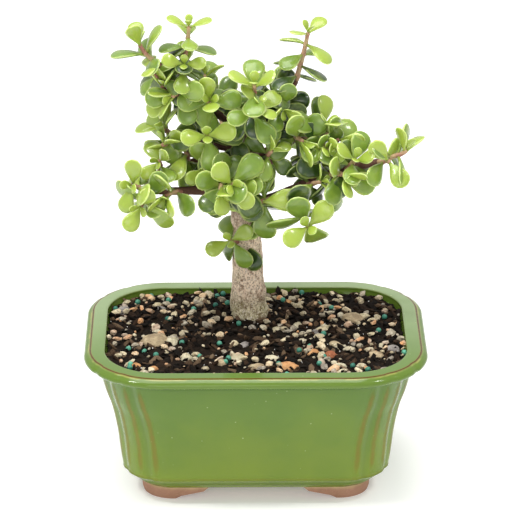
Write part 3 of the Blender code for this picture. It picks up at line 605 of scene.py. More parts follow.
def chip_paint():
    """Bark and peat crumbs, from near black to red-brown."""
    paint = Paint("bark_chips", IOR=1.4, Specular_IOR_Level=0.2)
    tone = paint.kept("tone")
    grain = paint.spots(0.0007, 3.0)
    body = paint.ramp(tone * 0.85 + grain * 0.15,
                      [(0.0, (0.002, 0.0015, 0.001)), (0.56, (0.008, 0.005, 0.003)),
                       (0.78, (0.036, 0.019, 0.010)), (0.91, (0.13, 0.085, 0.050)),
                       (1.0, (0.32, 0.24, 0.15))])
    paint.set("Base Color", body)
    paint.set("Roughness", 0.75 + grain * 0.2)
    paint.bump(grain, 0.0003)
    return paint.mat


def grit_paint():
    """Small gravel: tan, grey, cream and orange by the piece."""
    paint = Paint("gravel", IOR=1.45, Specular_IOR_Level=0.3)
    grain = paint.spots(0.0008, 4.0, 0.65)
    body = paint.ramp(paint.kept("tone"),
                      [(0.0, (0.33, 0.27, 0.17)), (0.22, (0.54, 0.45, 0.28)),
                       (0.42, (0.20, 0.17, 0.14)), (0.60, (0.66, 0.57, 0.38)),
                       (0.78, (0.60, 0.30, 0.13)), (1.0, (0.38, 0.31, 0.24))])
    patch = paint.spots(0.0022, 3.0)
    body = paint.mix(paint.band(patch, 0.45, 0.70) * 0.4, body, (0.80, 0.74, 0.58))
    body = paint.mix(paint.band(grain, 0.46, 0.32) * 0.85, body, (0.035, 0.022, 0.014))
    paint.set("Base Color", body)
    paint.set("Roughness", 0.7 + grain * 0.25)
    paint.bump(grain, 0.0004)
    return paint.mat


def stone_paint(name, light, dark):
    """A pebble with a pitted two-tone surface and soil in its hollows."""
    paint = Paint(name, IOR=1.45, Specular_IOR_Level=0.3)
    patch = paint.spots(0.0035, 4.0, 0.6)
    grain = paint.spots(0.0008, 4.0, 0.7)
    body = paint.mix(paint.band(patch, 0.35, 0.65), dark, light)
    body = paint.mix(paint.band(grain, 0.62, 0.75) * 0.6, body, (0.80, 0.74, 0.62))
    body = paint.mix(paint.band(grain, 0.42, 0.30) * 0.7, body, (0.05, 0.035, 0.025))
    paint.set("Base Color", body)
    paint.set("Roughness", 0.7 + grain * 0.25)
    paint.bump(patch * 0.5 + grain * 0.5, 0.0007)
    return paint.mat


def perlite_paint():
    paint = Paint("perlite", IOR=1.45)
    grain = paint.spots(0.0004, 3.0)
    paint.set("Base Color", paint.mix(grain, (0.72, 0.70, 0.64), (0.95, 0.94, 0.90)))
    paint.set("Roughness", 0.7 + grain * 0.2)
    paint.bump(grain, 0.0002)
    return paint.mat


def prill_paint(soil):
    """Coated fertiliser beads."""
    paint = Paint("fertiliser_beads", IOR=1.5)
    grain = paint.spots(0.0009, 3.0)
    body = paint.mix(paint.kept("tone"), soil.prill, soil.prill_pale)
    body = paint.mix(paint.band(grain, 0.60, 0.75) * 0.35, body, (0.02, 0.13, 0.10))
    paint.set("Base Color", body)
    paint.set("Roughness", 0.38 + grain * 0.2)
    paint.bump(grain, 0.00015)
    return paint.mat


def bark_paint(plant):
    """Grey-brown bark on the trunk that turns dark and reddish along the limbs."""
    paint = Paint("bark", IOR=1.42, Specular_IOR_Level=0.3)
    girth = paint.kept("girth")
    wrinkle = paint.spots(0.0015, 5.0, 0.75, paint.place((1.0, 1.0, 0.6)))
    grain = paint.spots(0.0011, 4.0, 0.65)
    patch = paint.spots(0.012, 3.0)
    old = paint.mix(paint.band(wrinkle * 0.7 + grain * 0.3, 0.38, 0.55),
                    plant.bark_dark, plant.bark_light)
    old = paint.mix(paint.band(patch, 0.52, 0.66) * 0.45, old, (0.46, 0.25, 0.15))
    old = paint.mix(paint.band(patch, 0.46, 0.34) * 0.4, old, (0.42, 0.40, 0.20))
    old = paint.mix(paint.kept("scar") * paint.band(wrinkle, 0.35, 0.55), old,
                    (0.22, 0.07, 0.035))
    low = paint.band(paint.axis("Z") + (patch - 0.5) * 0.012, 0.086, 0.070)
    old = paint.mix(low * 0.7, old, paint.mix(paint.band(wrinkle, 0.42, 0.60),
                                              (0.17, 0.14, 0.045), (0.66, 0.63, 0.38)))
    flecks = paint.spots(0.0008, 3.0, 0.6)
    old = paint.mix(paint.band(flecks, 0.56, 0.66) * 0.8, old, (0.95, 0.86, 0.74))
    old = paint.mix(paint.band(flecks, 0.44, 0.35) * 0.7, old, (0.10, 0.055, 0.035))
    young = paint.mix(grain, plant.limb_dark, plant.limb_light)
    body = paint.mix(paint.band(girth, 2.6, 5.6), young, old)
    body = paint.mix(paint.kept("cut"), body, plant.cut_wood)
    paint.set("Base Color", body)
    paint.set("Roughness", 0.68 + grain * 0.25)
    paint.bump(wrinkle * 0.6 + grain * 0.4, 0.0010)
    return paint.mat


def stem_paint(plant):
    paint = Paint("young_stem", IOR=1.42)
    grain = paint.spots(0.0012, 3.0)
    patch = paint.spots(0.006, 2.0)
    body = paint.mix(paint.band(patch, 0.35, 0.65), plant.stem_red, plant.stem_tan)
    body = paint.mix(paint.band(grain, 0.55, 0.75) * 0.4, body, (0.20, 0.09, 0.07))
    paint.set("Base Color", body)
    paint.set("Roughness", 0.5 + grain * 0.2)
    paint.bump(grain, 0.0002)
    return paint.mat


def leaf_paint(plant):
    """Waxy leaf: bright when young, darker with age and with painted shade deep in the crown and at
    its back, with a pale thin rim that is partly its own colour and partly painted light at the
    edge.
    """
    paint = Paint("jade_leaf", IOR=1.45, Coat_Roughness=0.16, Specular_IOR_Level=0.35,
                  Subsurface_Weight=0.12, Subsurface_Radius=(0.25, 0.60, 0.10),
                  Subsurface_Scale=0.002)
    age = paint.kept("age")
    tone = paint.kept("tone")
    patch = paint.spots(0.006, 3.0)
    fine = paint.spots(0.0008, 2.0)
    # The age value also holds painted shade for leaves deep in the crown and at its back.
    body = paint.mix(paint.band(age + (tone - 0.5) * 0.35, 0.0, 0.55), plant.leaf_young,
                     plant.leaf_mid)
    body = paint.mix(paint.band(age + (tone - 0.5) * 0.3, 0.5, 1.1), body, plant.leaf_old_and_shaded)
    body = paint.mix(paint.band(patch, 0.42, 0.72) * 0.3, body, plant.leaf_young)
    body = paint.mix(paint.band(paint.kept("run"), 0.30, 0.0) * 0.5, body, (0.36, 0.46, 0.10))
    # The pale rim is partly the leaf's own edge colour and partly painted light glancing off and
    # shining through the thin edge.
    rim = paint.band(paint.kept("rim"), 0.55, 0.92)
    body = paint.mix(rim * (0.85 - age * 0.35), body, plant.leaf_rim_and_sheen)
    paint.set("Base Color", body)
    paint.set("Roughness", 0.24 + patch * 0.14 + age * 0.05)
    paint.set("Coat Weight", 0.50 + fine * 0.25)
    paint.bump(patch * 0.7 + fine * 0.3, 0.00022)
    return paint.mat


def floor_paint(stage):
    paint = Paint("floor", IOR=1.45)
    paint.set("Base Color", (*stage.floor_colour, 1.0))
    paint.set("Roughness", 0.9)
    paint.shader.inputs["Emission Color"].default_value = (1.0, 1.0, 1.0, 1.0)
    paint.shader.inputs["Emission Strength"].default_value = stage.floor_glow
    return paint.mat


# ---- geometry node trees -------------------------------------------------------------
class Grower:
    """A geometry node tree with named inputs."""

    def __init__(self, name):
        self.tree = bpy.data.node_groups.new(name, "GeometryNodeTree")
        self.tree.interface.new_socket("Geometry", in_out="INPUT",
                                       socket_type="NodeSocketGeometry")
        self.tree.interface.new_socket("Geometry", in_out="OUTPUT",
                                       socket_type="NodeSocketGeometry")
        self.start = self.tree.nodes.new("NodeGroupInput")
        self.end = self.tree.nodes.new("NodeGroupOutput")
        self.names = {}

    def ask(self, name, kind, default=None):
        """A named input of the tree."""
        socket = self.tree.interface.new_socket(name, in_out="INPUT",
                                                socket_type="NodeSocket" + kind)
        if default is not None:
            socket.default_value = default
        self.names[name] = socket.identifier
        return self.start.outputs[name]

    def node(self, kind, settings=None, values=None, out=0):
        made = self.tree.nodes.new(kind)
        for key, value in (settings or {}).items():
            setattr(made, key, value)
        for key, value in (values or {}).items():
            many = value if isinstance(value, list) else [value]
            for one in many:
                if isinstance(one, bpy.types.NodeSocket):
                    self.tree.links.new(one, made.inputs[key])
                else:
                    made.inputs[key].default_value = one
        return made.outputs[out]

    def finish(self, geometry):
        self.tree.links.new(geometry, self.end.inputs[0])

    def grow(self, thing, **inputs):
        """Run the tree on an object and keep the result as a plain mesh."""
        mod = thing.modifiers.new(self.tree.name, "NODES")
        mod.node_group = self.tree
        for name, value in inputs.items():
            mod[self.names[name.replace("_", " ")]] = value
        return bake_modifiers(thing)


def random_number(tree, low, high, seed, kind="FLOAT"):
    """A random value for each point; its sockets depend on the kind."""
    first = {"FLOAT_VECTOR": (0, 1, 0), "FLOAT": (2, 3, 1), "INT": (4, 5, 2)}[kind]
    return tree.node("FunctionNodeRandomValue", {"data_type": kind},
                     {first[0]: low, first[1]: high, "Seed": seed}, first[2])


def leaf_tree():
    """Leaves on points that hold each leaf's turn, size and shape, and their stems."""
    tree = Grower("Jade leaves")
    shapes = [tree.ask(name, "Object") for name in ("Flat Leaf", "Cupped Leaf", "Curled Leaf")]
    stem = tree.ask("Stems", "Object")
    size = tree.ask("Leaf Size", "Float", 1.0)
    sway = tree.ask("Sway", "Vector", (0.12, 0.16, 0.10))
    seed = tree.ask("Seed", "Int", 3)
    leaf_mat = tree.ask("Leaf Material", "Material")
    stem_mat = tree.ask("Stem Material", "Material")
    picks = [tree.node("GeometryNodeObjectInfo", None, {"Object": s, "As Instance": True},
                       "Geometry") for s in shapes]
    choice = tree.node("GeometryNodeJoinGeometry", None, {0: picks})
    turn = tree.node("GeometryNodeInputNamedAttribute", {"data_type": "FLOAT_VECTOR"},
                     {"Name": "turn"}, "Attribute")
    turn = tree.node("FunctionNodeEulerToRotation", None, {0: turn})
    back = tree.node("ShaderNodeVectorMath", {"operation": "SCALE"}, {0: sway, "Scale": -1.0})
    jitter = random_number(tree, back, sway, seed, "FLOAT_VECTOR")
    jitter = tree.node("FunctionNodeEulerToRotation", None, {0: jitter})
    turn = tree.node("FunctionNodeRotateRotation", {"rotation_space": "LOCAL"},
                     {0: turn, 1: jitter})
    scale = tree.node("GeometryNodeInputNamedAttribute", {"data_type": "FLOAT_VECTOR"},
                      {"Name": "size"}, "Attribute")
    scale = tree.node("ShaderNodeVectorMath", {"operation": "SCALE"}, {0: scale, "Scale": size})
    shape = tree.node("GeometryNodeInputNamedAttribute", {"data_type": "INT"},
                      {"Name": "shape"}, "Attribute")
    leaves = tree.node("GeometryNodeInstanceOnPoints", None,
                       {"Points": tree.start.outputs[0], "Instance": choice,
                        "Pick Instance": True, "Instance Index": shape,
                        "Rotation": turn, "Scale": scale})
    leaves = tree.node("GeometryNodeRealizeInstances", None, {0: leaves})
    leaves = tree.node("GeometryNodeSetMaterial", None, {0: leaves, "Material": leaf_mat})
    stems = tree.node("GeometryNodeObjectInfo", None, {"Object": stem}, "Geometry")
    stems = tree.node("GeometryNodeSetMaterial", None, {0: stems, "Material": stem_mat})
    tree.finish(tree.node("GeometryNodeJoinGeometry", None, {0: [leaves, stems]}))
    return tree


def scatter_tree():
    """Bits strewn over a surface, each turned and sized at random."""
    tree = Grower("Strewn bits")
    shapes = [tree.ask(name, "Object") for name in ("Bit A", "Bit B")]
    spacing = tree.ask("Spacing", "Float", 0.002)
    density = tree.ask("Density", "Float", 1000.0)
    small = tree.ask("Smallest", "Vector", (0.001, 0.001, 0.001))
    large = tree.ask("Largest", "Vector", (0.002, 0.002, 0.002))
    lift = tree.ask("Lift", "Float", 0.0)
    tilt = tree.ask("Tilt", "Vector", (0.5, 0.5, 3.1416))
    patches = tree.ask("Patchiness", "Float", 0.5)
    seed = tree.ask("Seed", "Int", 1)
    mat = tree.ask("Material", "Material")
    cloud = tree.node("ShaderNodeTexNoise", {"noise_dimensions": "4D"},
                      {"W": seed, "Scale": 48.0, "Detail": 2.0}, "Fac")
    sparse = tree.node("ShaderNodeMath", {"operation": "SUBTRACT"}, {0: 1.0, 1: patches})
    crowd = tree.node("ShaderNodeMapRange", None, {0: cloud, 1: 0.44, 2: 0.58, 3: sparse, 4: 1.0})
    points = tree.node("GeometryNodeDistributePointsOnFaces", {"distribute_method": "POISSON"},
                       {"Mesh": tree.start.outputs[0], "Distance Min": spacing,
                        "Density Max": density, "Density Factor": crowd, "Seed": seed})
    tone = random_number(tree, 0.0, 1.0, seed)
    points = tree.node("GeometryNodeStoreNamedAttribute", {"data_type": "FLOAT"},
                       {0: points, "Name": "tone", "Value": tone})
    rise = tree.node("ShaderNodeCombineXYZ", None, {"Z": lift})
    points = tree.node("GeometryNodeSetPosition", None, {0: points, "Offset": rise})
    picks = [tree.node("GeometryNodeObjectInfo", None, {"Object": s, "As Instance": True},
                       "Geometry") for s in shapes]
    choice = tree.node("GeometryNodeJoinGeometry", None, {0: picks})
    back = tree.node("ShaderNodeVectorMath", {"operation": "SCALE"}, {0: tilt, "Scale": -1.0})
    turn = tree.node("FunctionNodeEulerToRotation", None,
                     {0: random_number(tree, back, tilt, seed, "FLOAT_VECTOR")})
    more = tree.node("ShaderNodeMath", {"operation": "ADD"}, {0: seed, 1: 7.0})
    size = random_number(tree, small, large, more, "FLOAT_VECTOR")
    bits = tree.node("GeometryNodeInstanceOnPoints", None,
                     {"Points": points, "Instance": choice, "Pick Instance": True,
                      "Instance Index": random_number(tree, 0, 1, more, "INT"),
                      "Rotation": turn, "Scale": size})
    bits = tree.node("GeometryNodeRealizeInstances", None, {0: bits})
    tree.finish(tree.node("GeometryNodeSetMaterial", None, {0: bits, "Material": mat}))
    return tree


# ---- pot -----------------------------------------------------------------------------
def corner_outline(half_x, half_y, radius, groove, z, steps=60):
    """A rounded rectangle with a groove at each side of every corner's lobe, and the
    distance of each of its points from the nearest groove's middle."""
    wide = min(math.degrees(GROOVE_HALF / radius), 13.0)
    offset = min(math.degrees(GROOVE_AWAY / radius), 24.0)
    ring = []
    away = []
    for cx, cy, start in ((1, 1, 0), (-1, 1, 90), (-1, -1, 180), (1, -1, 270)):
        for angle in np.linspace(0.0, 90.0, steps + 1):
            apart = abs(abs(angle - 45) - offset)
            share = min(apart / wide, 1.0)
            reach = radius - GROOVE_LEFT * groove * math.cos(share * math.pi / 2) ** 2
            turn = math.radians(start + angle)
            ring.append((cx * (half_x - radius) + reach * math.cos(turn),
                         cy * (half_y - radius) + reach * math.sin(turn), z))
            away.append(math.radians(apart) * radius)
    return ring, away


def outside_ring(share, inset, radius, groove):
    return corner_outline(POT_LENGTH / 2 - inset * MM, POT_DEPTH / 2 - inset * MM,
                          radius * MM, groove * MM, share * POT_HEIGHT)


def inside_ring(share, inset, radius, shrink=0.0):
    off = LIP_INSET + inset * MM + shrink
    return corner_outline(POT_LENGTH / 2 - off, POT_DEPTH / 2 - off,
                          radius * MM - shrink, 0.0, share * POT_HEIGHT)


def inside_at(share):
    """A row of the inner profile at any height."""
    rows = POT_INSIDE[::-1]
    heights = [row[0] for row in rows]
    return (share, float(np.interp(share, heights, [row[1] for row in rows])),
            float(np.interp(share, heights, [row[2] for row in rows])))


def hump(distance, width):
    return math.exp(-(distance / width) ** 2)


def near_line(height, inset, line, width):
    """1 on a line along the glaze, falling to 0 around it."""
    share, depth = line
    return hump(math.hypot(height - share * POT_HEIGHT, inset - depth * MM), width)


def glaze_marks(height, inset, away, outside):
    """How thin the glaze lies at a point; how dark it is, from glaze pooled in the grooves, painted
    shade under the lip and a darker band on the chamfer; how it gleams.
    """
    if not outside:
        return 0.5 * near_line(height, inset, INNER_EDGE, 0.40 * MM), 0.0, 0.0
    wear = near_line(height, inset, OUTER_EDGE, 0.62 * MM)
    gleam = near_line(height, inset, GLEAM_LINE, 0.36 * MM)
    pool = 0.0
    if height < 0.93 * POT_HEIGHT:
        foot = FOOT_LINE * POT_HEIGHT
        fade = min(1.0, (height - foot + 3 * MM) / (10 * MM)) if height > foot else 0.4
        fade *= min(1.0, (0.95 * POT_HEIGHT - height) / (9 * MM))
        beside = hump(away - 1.15 * GROOVE_HALF, 0.62 * GROOVE_HALF)
        wear = max(0.62 * fade * beside, 0.52 * hump(height - foot, 0.9 * MM), 0.0)
        # Glaze pooled in the grooves, painted shade in the hollow under the lip, a darker band on
        # the chamfer.
        pool = max(0.35 * hump(away, 0.5 * GROOVE_HALF),
                   1.2 * hump(height - UNDER_LIP * POT_HEIGHT, 1.8 * MM),
                   0.8 * hump(height - CHAMFER_MIDDLE * POT_HEIGHT, 2.5 * MM))
    return wear, pool, gleam


def nearest_of(points):
    """A search tree over points, which finds the index of the nearest one."""
    tree = kdtree.KDTree(len(points))
    for i, point in enumerate(points):
        tree.insert(point, i)
    tree.balance()
    return tree


def keep_marks(thing, names, marks):
    """Store rows of numbers on a mesh's points, one attribute for each name."""
    for column, name in enumerate(names):
        store(thing.data, name, [row[column] for row in marks])


def build_bowl(mat):
    """The glazed bowl of the pot, with its lip, grooves and drain holes."""
    outside = smooth_path(POT_OUTSIDE, 5 * len(POT_OUTSIDE))
    inside = smooth_path(POT_INSIDE, 4 * len(POT_INSIDE))
    rings = []
    marks = []
    for row in outside:
        ring, away = outside_ring(*row)
        rings.append(ring)
        marks += [glaze_marks(row[0] * POT_HEIGHT, row[1] * MM, a, True) for a in away]
    # The flat of the lip gets rings of its own, so that wear stays on its edges.
    edge = outside_ring(*outside[-1])[0]
    mouth = inside_ring(*inside[0])[0]
    for share in (0.08, 0.18, 0.4, 0.6, 0.82, 0.92):
        rings.append([tuple(np.array(p) * (1 - share) + np.array(q) * share)
                      for p, q in zip(edge, mouth)])
        marks += [(0.0, 0.0, 0.0)] * len(edge)
    for row in inside:
        ring, away = inside_ring(*row)
        rings.append(ring)
        marks += [glaze_marks(row[0] * POT_HEIGHT, row[1] * MM, a, False) for a in away]
    floor = [(FLUSH * x, FLUSH * y, FLOOR_TOP) for x, y, _ in rings[-1]]
    rings.append(floor)
    marks += [(0.0, 0.0, 0.0)] * len(floor)
    verts, faces = loft(rings)
    bowl = make_object("pot_bowl", verts, faces, mat)
    for side in (-1, 1):
        turns = [2 * math.pi * i / 48 for i in range(48)]
        hole = [[(side * DRAIN_SPACING / 2 + DRAIN_RADIUS * math.cos(t),
                  DRAIN_RADIUS * math.sin(t), z) for t in turns]
                for z in (0.5 * FOOT_HEIGHT, FLOOR_TOP + FOOT_HEIGHT)]
        cut(bowl, make_object("drain_cutter", *loft(hole)))
    # The cuts renumber the points, so each takes the marks of the place it lies at.
    tree = nearest_of(verts)
    found = [marks[tree.find(v.co)[1]] for v in bowl.data.vertices]
    keep_marks(bowl, ("wear", "pool", "gleam"), found)
    bowl.data.polygons.foreach_set("use_smooth", [True] * len(bowl.data.polygons))
    return bowl


def foot_gap(half_wide, half_narrow, axis, reach):
    """A cutter for the gap between two bracket feet, wide at the table."""
    step = half_wide - half_narrow
    right = [(half_wide + step / 6, -FOOT_HEIGHT), (half_wide, 0.0),
             (half_wide - 0.16 * step, 0.24 * FOOT_HEIGHT),
             (half_narrow + 0.18 * step, 0.60 * FOOT_HEIGHT),
             (half_narrow, FOOT_HEIGHT)]
    outline = right + [(-across, up) for across, up in reversed(right)]
    if axis == "X":
        rings = [[(s * reach, across, up) for across, up in outline] for s in (-1, 1)]
    else:
        rings = [[(across, s * reach, up) for across, up in outline] for s in (-1, 1)]
    return make_object("foot_gap", *loft(rings))


def build_feet(mat):
    """Four bracket feet cut from one ring under the bowl, their edges eased."""
    inset = POT_OUTSIDE[0][1] * MM + 0.7 * MM
    half_x = POT_LENGTH / 2 - inset
    half_y = POT_DEPTH / 2 - inset
    radius = POT_OUTSIDE[0][2] * MM - 0.7 * MM
    rings = [corner_outline(half_x - s * 0.8 * MM, half_y - s * 0.8 * MM,
                            radius - s * 0.8 * MM, 0.0, z, 12)[0]
             for s, z in ((1.0, 0.0), (0.4, 0.25 * FOOT_HEIGHT), (0.0, FOOT_HEIGHT + 0.5 * MM))]
    feet = make_object("pot_feet", *loft(rings), mat)
    hole = [corner_outline(half_x - FOOT_WALL, half_y - FOOT_WALL,
                           radius - FOOT_WALL + 2 * MM, 0.0, z, 12)[0]
            for z in (-FOOT_HEIGHT, 2 * FOOT_HEIGHT)]
    cut(feet, make_object("ring_hole", *loft(hole)))
    cut(feet, foot_gap(0.70 * half_x, 0.70 * half_x - 15.5 * MM, "Y", POT_DEPTH))
    cut(feet, foot_gap(0.70 * half_y, 0.70 * half_y - 15.5 * MM, "X", POT_LENGTH))
    ease = feet.modifiers.new("ease", "BEVEL")
    ease.width = 0.45 * MM
    ease.segments = 2
    ease.limit_method = "ANGLE"
    ease.angle_limit = math.radians(40)
    bake_modifiers(feet)
    feet.data.polygons.foreach_set("use_smooth", [False] * len(feet.data.polygons))
    return feet


# ---- soil ----------------------------------------------------------------------------
def soil_height(x, y):
    """Height of the soil's surface, with its dome and clods."""
    inset = LIP_INSET + inside_at(SOIL_TOP / POT_HEIGHT)[1] * MM
    half_x = POT_LENGTH / 2 - inset
    half_y = POT_DEPTH / 2 - inset
    rim = max(abs(x) / half_x, abs(y) / half_y)
    dome = 1.8 * MM * max(0.0, 1.0 - math.hypot((x - TRUNK_FOOT[0]) / half_x,
                                               (y - TRUNK_FOOT[1]) / half_y)) ** 1.5
    clod = noise.fractal(Vector((x, y, 0.3)) / (9 * MM), 1.0, 2.1, 4)
    crumb = noise.fractal(Vector((x, y, 0.9)) / (2.6 * MM), 1.0, 2.0, 3)
    calm = min(1.0, (1.0 - rim) * 12)
    return SOIL_TOP + dome + (0.7 * clod + 0.6 * crumb) * MM * (0.3 + 0.7 * calm) + 0.7 * MM


def soil_rings():
    """Closed rings of the soil from its floor up the wall and over the top."""
    below = [row for row in POT_INSIDE if row[0] * POT_HEIGHT < SOIL_TOP - MM]
    wall = [inside_ring(*row, shrink=CLEARANCE)[0] for row in below]
    top = inside_ring(*inside_at(SOIL_TOP / POT_HEIGHT), shrink=CLEARANCE)[0]
    dense = []
    for i, p in enumerate(top):
        q = top[(i + 1) % len(top)]
        runs = max(1, round(math.dist(p, q) / (1.3 * MM)))
        dense += [tuple(np.array(p) + (np.array(q) - np.array(p)) * s / runs)
                  for s in range(runs)]
    return wall, top, dense


def build_soil(mat):
    """The closed body of soil, and its open surface without the spot at the trunk."""
    wall, top, dense = soil_rings()
    foot_x, foot_y = TRUNK_FOOT
    rings = []
    for share in np.linspace(1.0, 0.03, 58):
        ring = []
        for x, y, _ in dense:
            px = foot_x + (x - foot_x) * share
            py = foot_y + (y - foot_y) * share
            ring.append((px, py, soil_height(px, py)))
        rings.append(ring)
    surface_verts, surface_faces = loft(rings)
    surface_faces.pop(-2)                     # the cap over the outermost ring
    floor = [(FLUSH * x, FLUSH * y, FLOOR_TOP + CLEARANCE) for x, y, _ in wall[-1]]
    skirt = [(x, y, soil_height(x, y) - 1.2 * MM) for x, y, _ in top]
    body = make_object("soil_body", surface_verts, surface_faces, mat)
    work = bmesh.new()
    work.from_mesh(body.data)
    work.verts.ensure_lookup_table()
    edge = [work.verts[i] for i in range(len(dense))]
    lower = edge
    for ring in [skirt] + wall + [floor]:
        line = resample(ring, len(dense))
        fresh = [work.verts.new(p) for p in line]
        for i in range(len(fresh)):
            k = (i + 1) % len(fresh)
            work.faces.new((lower[i], lower[k], fresh[k], fresh[i]))
        lower = fresh
    work.faces.new(lower)
    bmesh.ops.recalc_face_normals(work, faces=work.faces)
    work.to_mesh(body.data)
    work.free()
    body.data.polygons.foreach_set("use_smooth", [True] * len(body.data.polygons))
    return body, (surface_verts, surface_faces[:-1])


def resample(ring, count):
    """A closed ring shared out into count points, starting at the same place."""
    pts = np.array(ring + [ring[0]], float)
    arc = np.r_[0.0, np.cumsum(np.linalg.norm(np.diff(pts, axis=0), axis=1))]
    at = np.linspace(0.0, arc[-1], count + 1)[:-1]
    return [tuple(np.interp(a, arc, pts[:, k]) for k in range(3)) for a in at]


def bit_object(name, cuts, jitter, stretch, seed, smooth=False):
    """A small rough bit of unit size; without cuts it is a ball of 35 faces."""
    work = bmesh.new()
    if cuts:
        bmesh.ops.create_icosphere(work, subdivisions=cuts, radius=0.5)
    else:
        bmesh.ops.create_uvsphere(work, u_segments=7, v_segments=5, radius=0.5)
    chance = random.Random(seed)
    for v in work.verts:
        grow = 1.0 + chance.uniform(-jitter, jitter)
        v.co = Vector((v.co.x * stretch[0], v.co.y * stretch[1], v.co.z * stretch[2])) * grow
    verts = [v.co.copy() for v in work.verts]
    faces = [tuple(v.index for v in f.verts) for f in work.faces]
    work.free()
    return make_object(name, verts, faces, None, smooth)


def build_stone(index, row):
    """A lumpy pebble half sunk in the soil."""
    node, x, y, length, wide, high, turn, colour = row
    work = bmesh.new()
    bmesh.ops.create_icosphere(work, subdivisions=4, radius=1.0)
    t = math.radians(turn)
    verts = []
    for v in work.verts:
        flow = noise.fractal(v.co * 1.6 + Vector((index * 3.1, 0, 0)), 1.0, 2.0, 4)
        chip = noise.noise(v.co * 4.5 + Vector((0, index * 2.3, 0)))
        lump = 0.97 + 0.14 * flow + 0.05 * chip
        u = v.co.x * length / 2 * lump * MM
        w = v.co.y * wide / 2 * lump * MM
        h = v.co.z * high / 2 * lump * MM
        verts.append((x * MM + u * math.cos(t) - w * math.sin(t),
                      y * MM + u * math.sin(t) + w * math.cos(t),
                      SOIL_TOP + 0.12 * high * MM + h))
    faces = [tuple(v.index for v in f.verts) for f in work.faces]
    work.free()
    name = node.replace("stone", "pebble") if node else "pebble_%02d" % index
    return make_object(name, verts, faces, bpy.data.materials["pebble_" + colour])


# ---- wood ----------------------------------------------------------------------------
def plant_point(p):
    """A point of the plant's tables, in metres."""
    return np.array([TRUNK_FOOT[0], TRUNK_FOOT[1], SOIL_TOP]) + np.array(p, float) * MM


def trunk_line(count=60):
    line = smooth_path([row[:3] for row in TRUNK], count)
    radii = np.interp(np.linspace(0, len(TRUNK) - 1, count), range(len(TRUNK)),
                      [row[3] for row in TRUNK])
    return np.array([plant_point(p) for p in line]), radii * MM


def limb_line(name, count=40):
    first, last, points = LIMBS[name]
    line = np.array([plant_point(p) for p in smooth_path(points, count)])
    return line, np.linspace(first, last, count) * MM


def wood_line(name):
    return trunk_line() if name == "trunk" else limb_line(name)


def build_wood(mat):
    """Trunk and limbs as one skin, with bark wrinkles, a knot and buried roots."""
    parts = []
    spine = []
    for name in ["trunk"] + list(LIMBS):
        line, radii = wood_line(name)
        parts.append(tube(line, radii, 20 if name == "trunk" else 12))
        spine += [(p, r / MM) for p, r in zip(line, radii)]
    for heading in ROOT_HEADINGS:
        turn = math.radians(heading)
        out = np.array([math.cos(turn), math.sin(turn), -0.55])
        path = np.array([plant_point((1, 1, -6)) + out * s * ROOT_REACH * MM
                         for s in (0.15, 0.5, 0.8, 1.0)])
        parts.append(tube(path, np.array([3.4, 2.4, 1.5, 0.8]) * MM, 10))
    wood = make_object("wood", *gather(parts), mat)
    skin = wood.modifiers.new("skin", "REMESH")
    skin.mode = "VOXEL"
    skin.voxel_size = 0.6 * MM
    soften = wood.modifiers.new("soften", "SMOOTH")
    soften.iterations = 4
    bake_modifiers(wood)
    tree = nearest_of([p for p, _ in spine])
    knot = plant_point(KNOT)
    top = trunk_line()[0][-1]
    ahead = unit(top - trunk_line()[0][-4])
    scar = plant_point(SCAR)
    places = []
    marks = []
    for v in wood.data.vertices:
        at = v.co.copy()
        out = np.array(v.normal)
        girth = sum(spine[index][1] for _, index, _ in tree.find_n(at, 12)) / 12
        wrinkle = noise.fractal(Vector((at.x, at.y, at.z * 0.8)) / (3.2 * MM), 1.0, 2.0, 4)
        lump = noise.noise(at / (7 * MM))
        at = np.array(at)
        push = (0.20 * wrinkle + 0.25 * lump) * MM * min(1.0, girth / 5.0)
        push += 1.6 * MM * hump(float(np.linalg.norm(at - knot)), 4.5 * MM)
        places.append(at + out * push)
        flat = (at - top) @ ahead > -0.5 * MM and np.linalg.norm(at - top) < 4.5 * MM
        ring = float(np.linalg.norm(at - knot)) - 3.2 * MM
        marks.append((girth, 1.0 if flat and out @ ahead > 0.6 else 0.0,
                      max(hump(float(np.linalg.norm(at - scar)), 3.4 * MM),
                          0.7 * hump(ring, 0.6 * MM))))
    wood.data.vertices.foreach_set("co", np.array(places, np.float32).ravel())
    keep_marks(wood, ("girth", "cut", "scar"), marks)
    wood.data.polygons.foreach_set("use_smooth", [True] * len(wood.data.polygons))
    return wood


# ---- shoots --------------------------------------------------------------------------
def stem_path(row):
    """A shoot's stem from its wood to its tip, as a function of distance."""
    _, wood, share, tip, heading, rise = row[:6]
    line, _ = wood_line(wood)
    at = share * (len(line) - 1)
    i = min(int(at), len(line) - 2)
    start = line[i] + (line[i + 1] - line[i]) * (at - i)
    tip = plant_point(tip)
    h = math.radians(heading)
    r = math.radians(rise)
    axis = np.array([math.cos(r) * math.cos(h), math.cos(r) * math.sin(h), math.sin(r)])
    reach = np.linalg.norm(tip - start)
    depart = unit(tip - start)
    s = np.linspace(0, 1, 41)[:, None]
    curve = ((2 * s ** 3 - 3 * s ** 2 + 1) * start + (s ** 3 - 2 * s ** 2 + s) * depart * reach * 0.9
             + (3 * s ** 2 - 2 * s ** 3) * tip + (s ** 3 - s ** 2) * axis * reach * 0.9)
    arc = np.r_[0.0, np.cumsum(np.linalg.norm(np.diff(curve, axis=0), axis=1))]
    return curve, arc, axis


def leaf_frame(axis, radial, angle):
    """Turn of a leaf that leans out by an angle, its upper face to the shoot's tip."""
    t = math.radians(angle)
    along = math.cos(t) * axis + math.sin(t) * radial
    face = math.sin(t) * axis - math.cos(t) * radial
    across = np.cross(along, face)
    turn = Matrix([across, along, face]).transposed()
    return tuple(turn.to_euler())


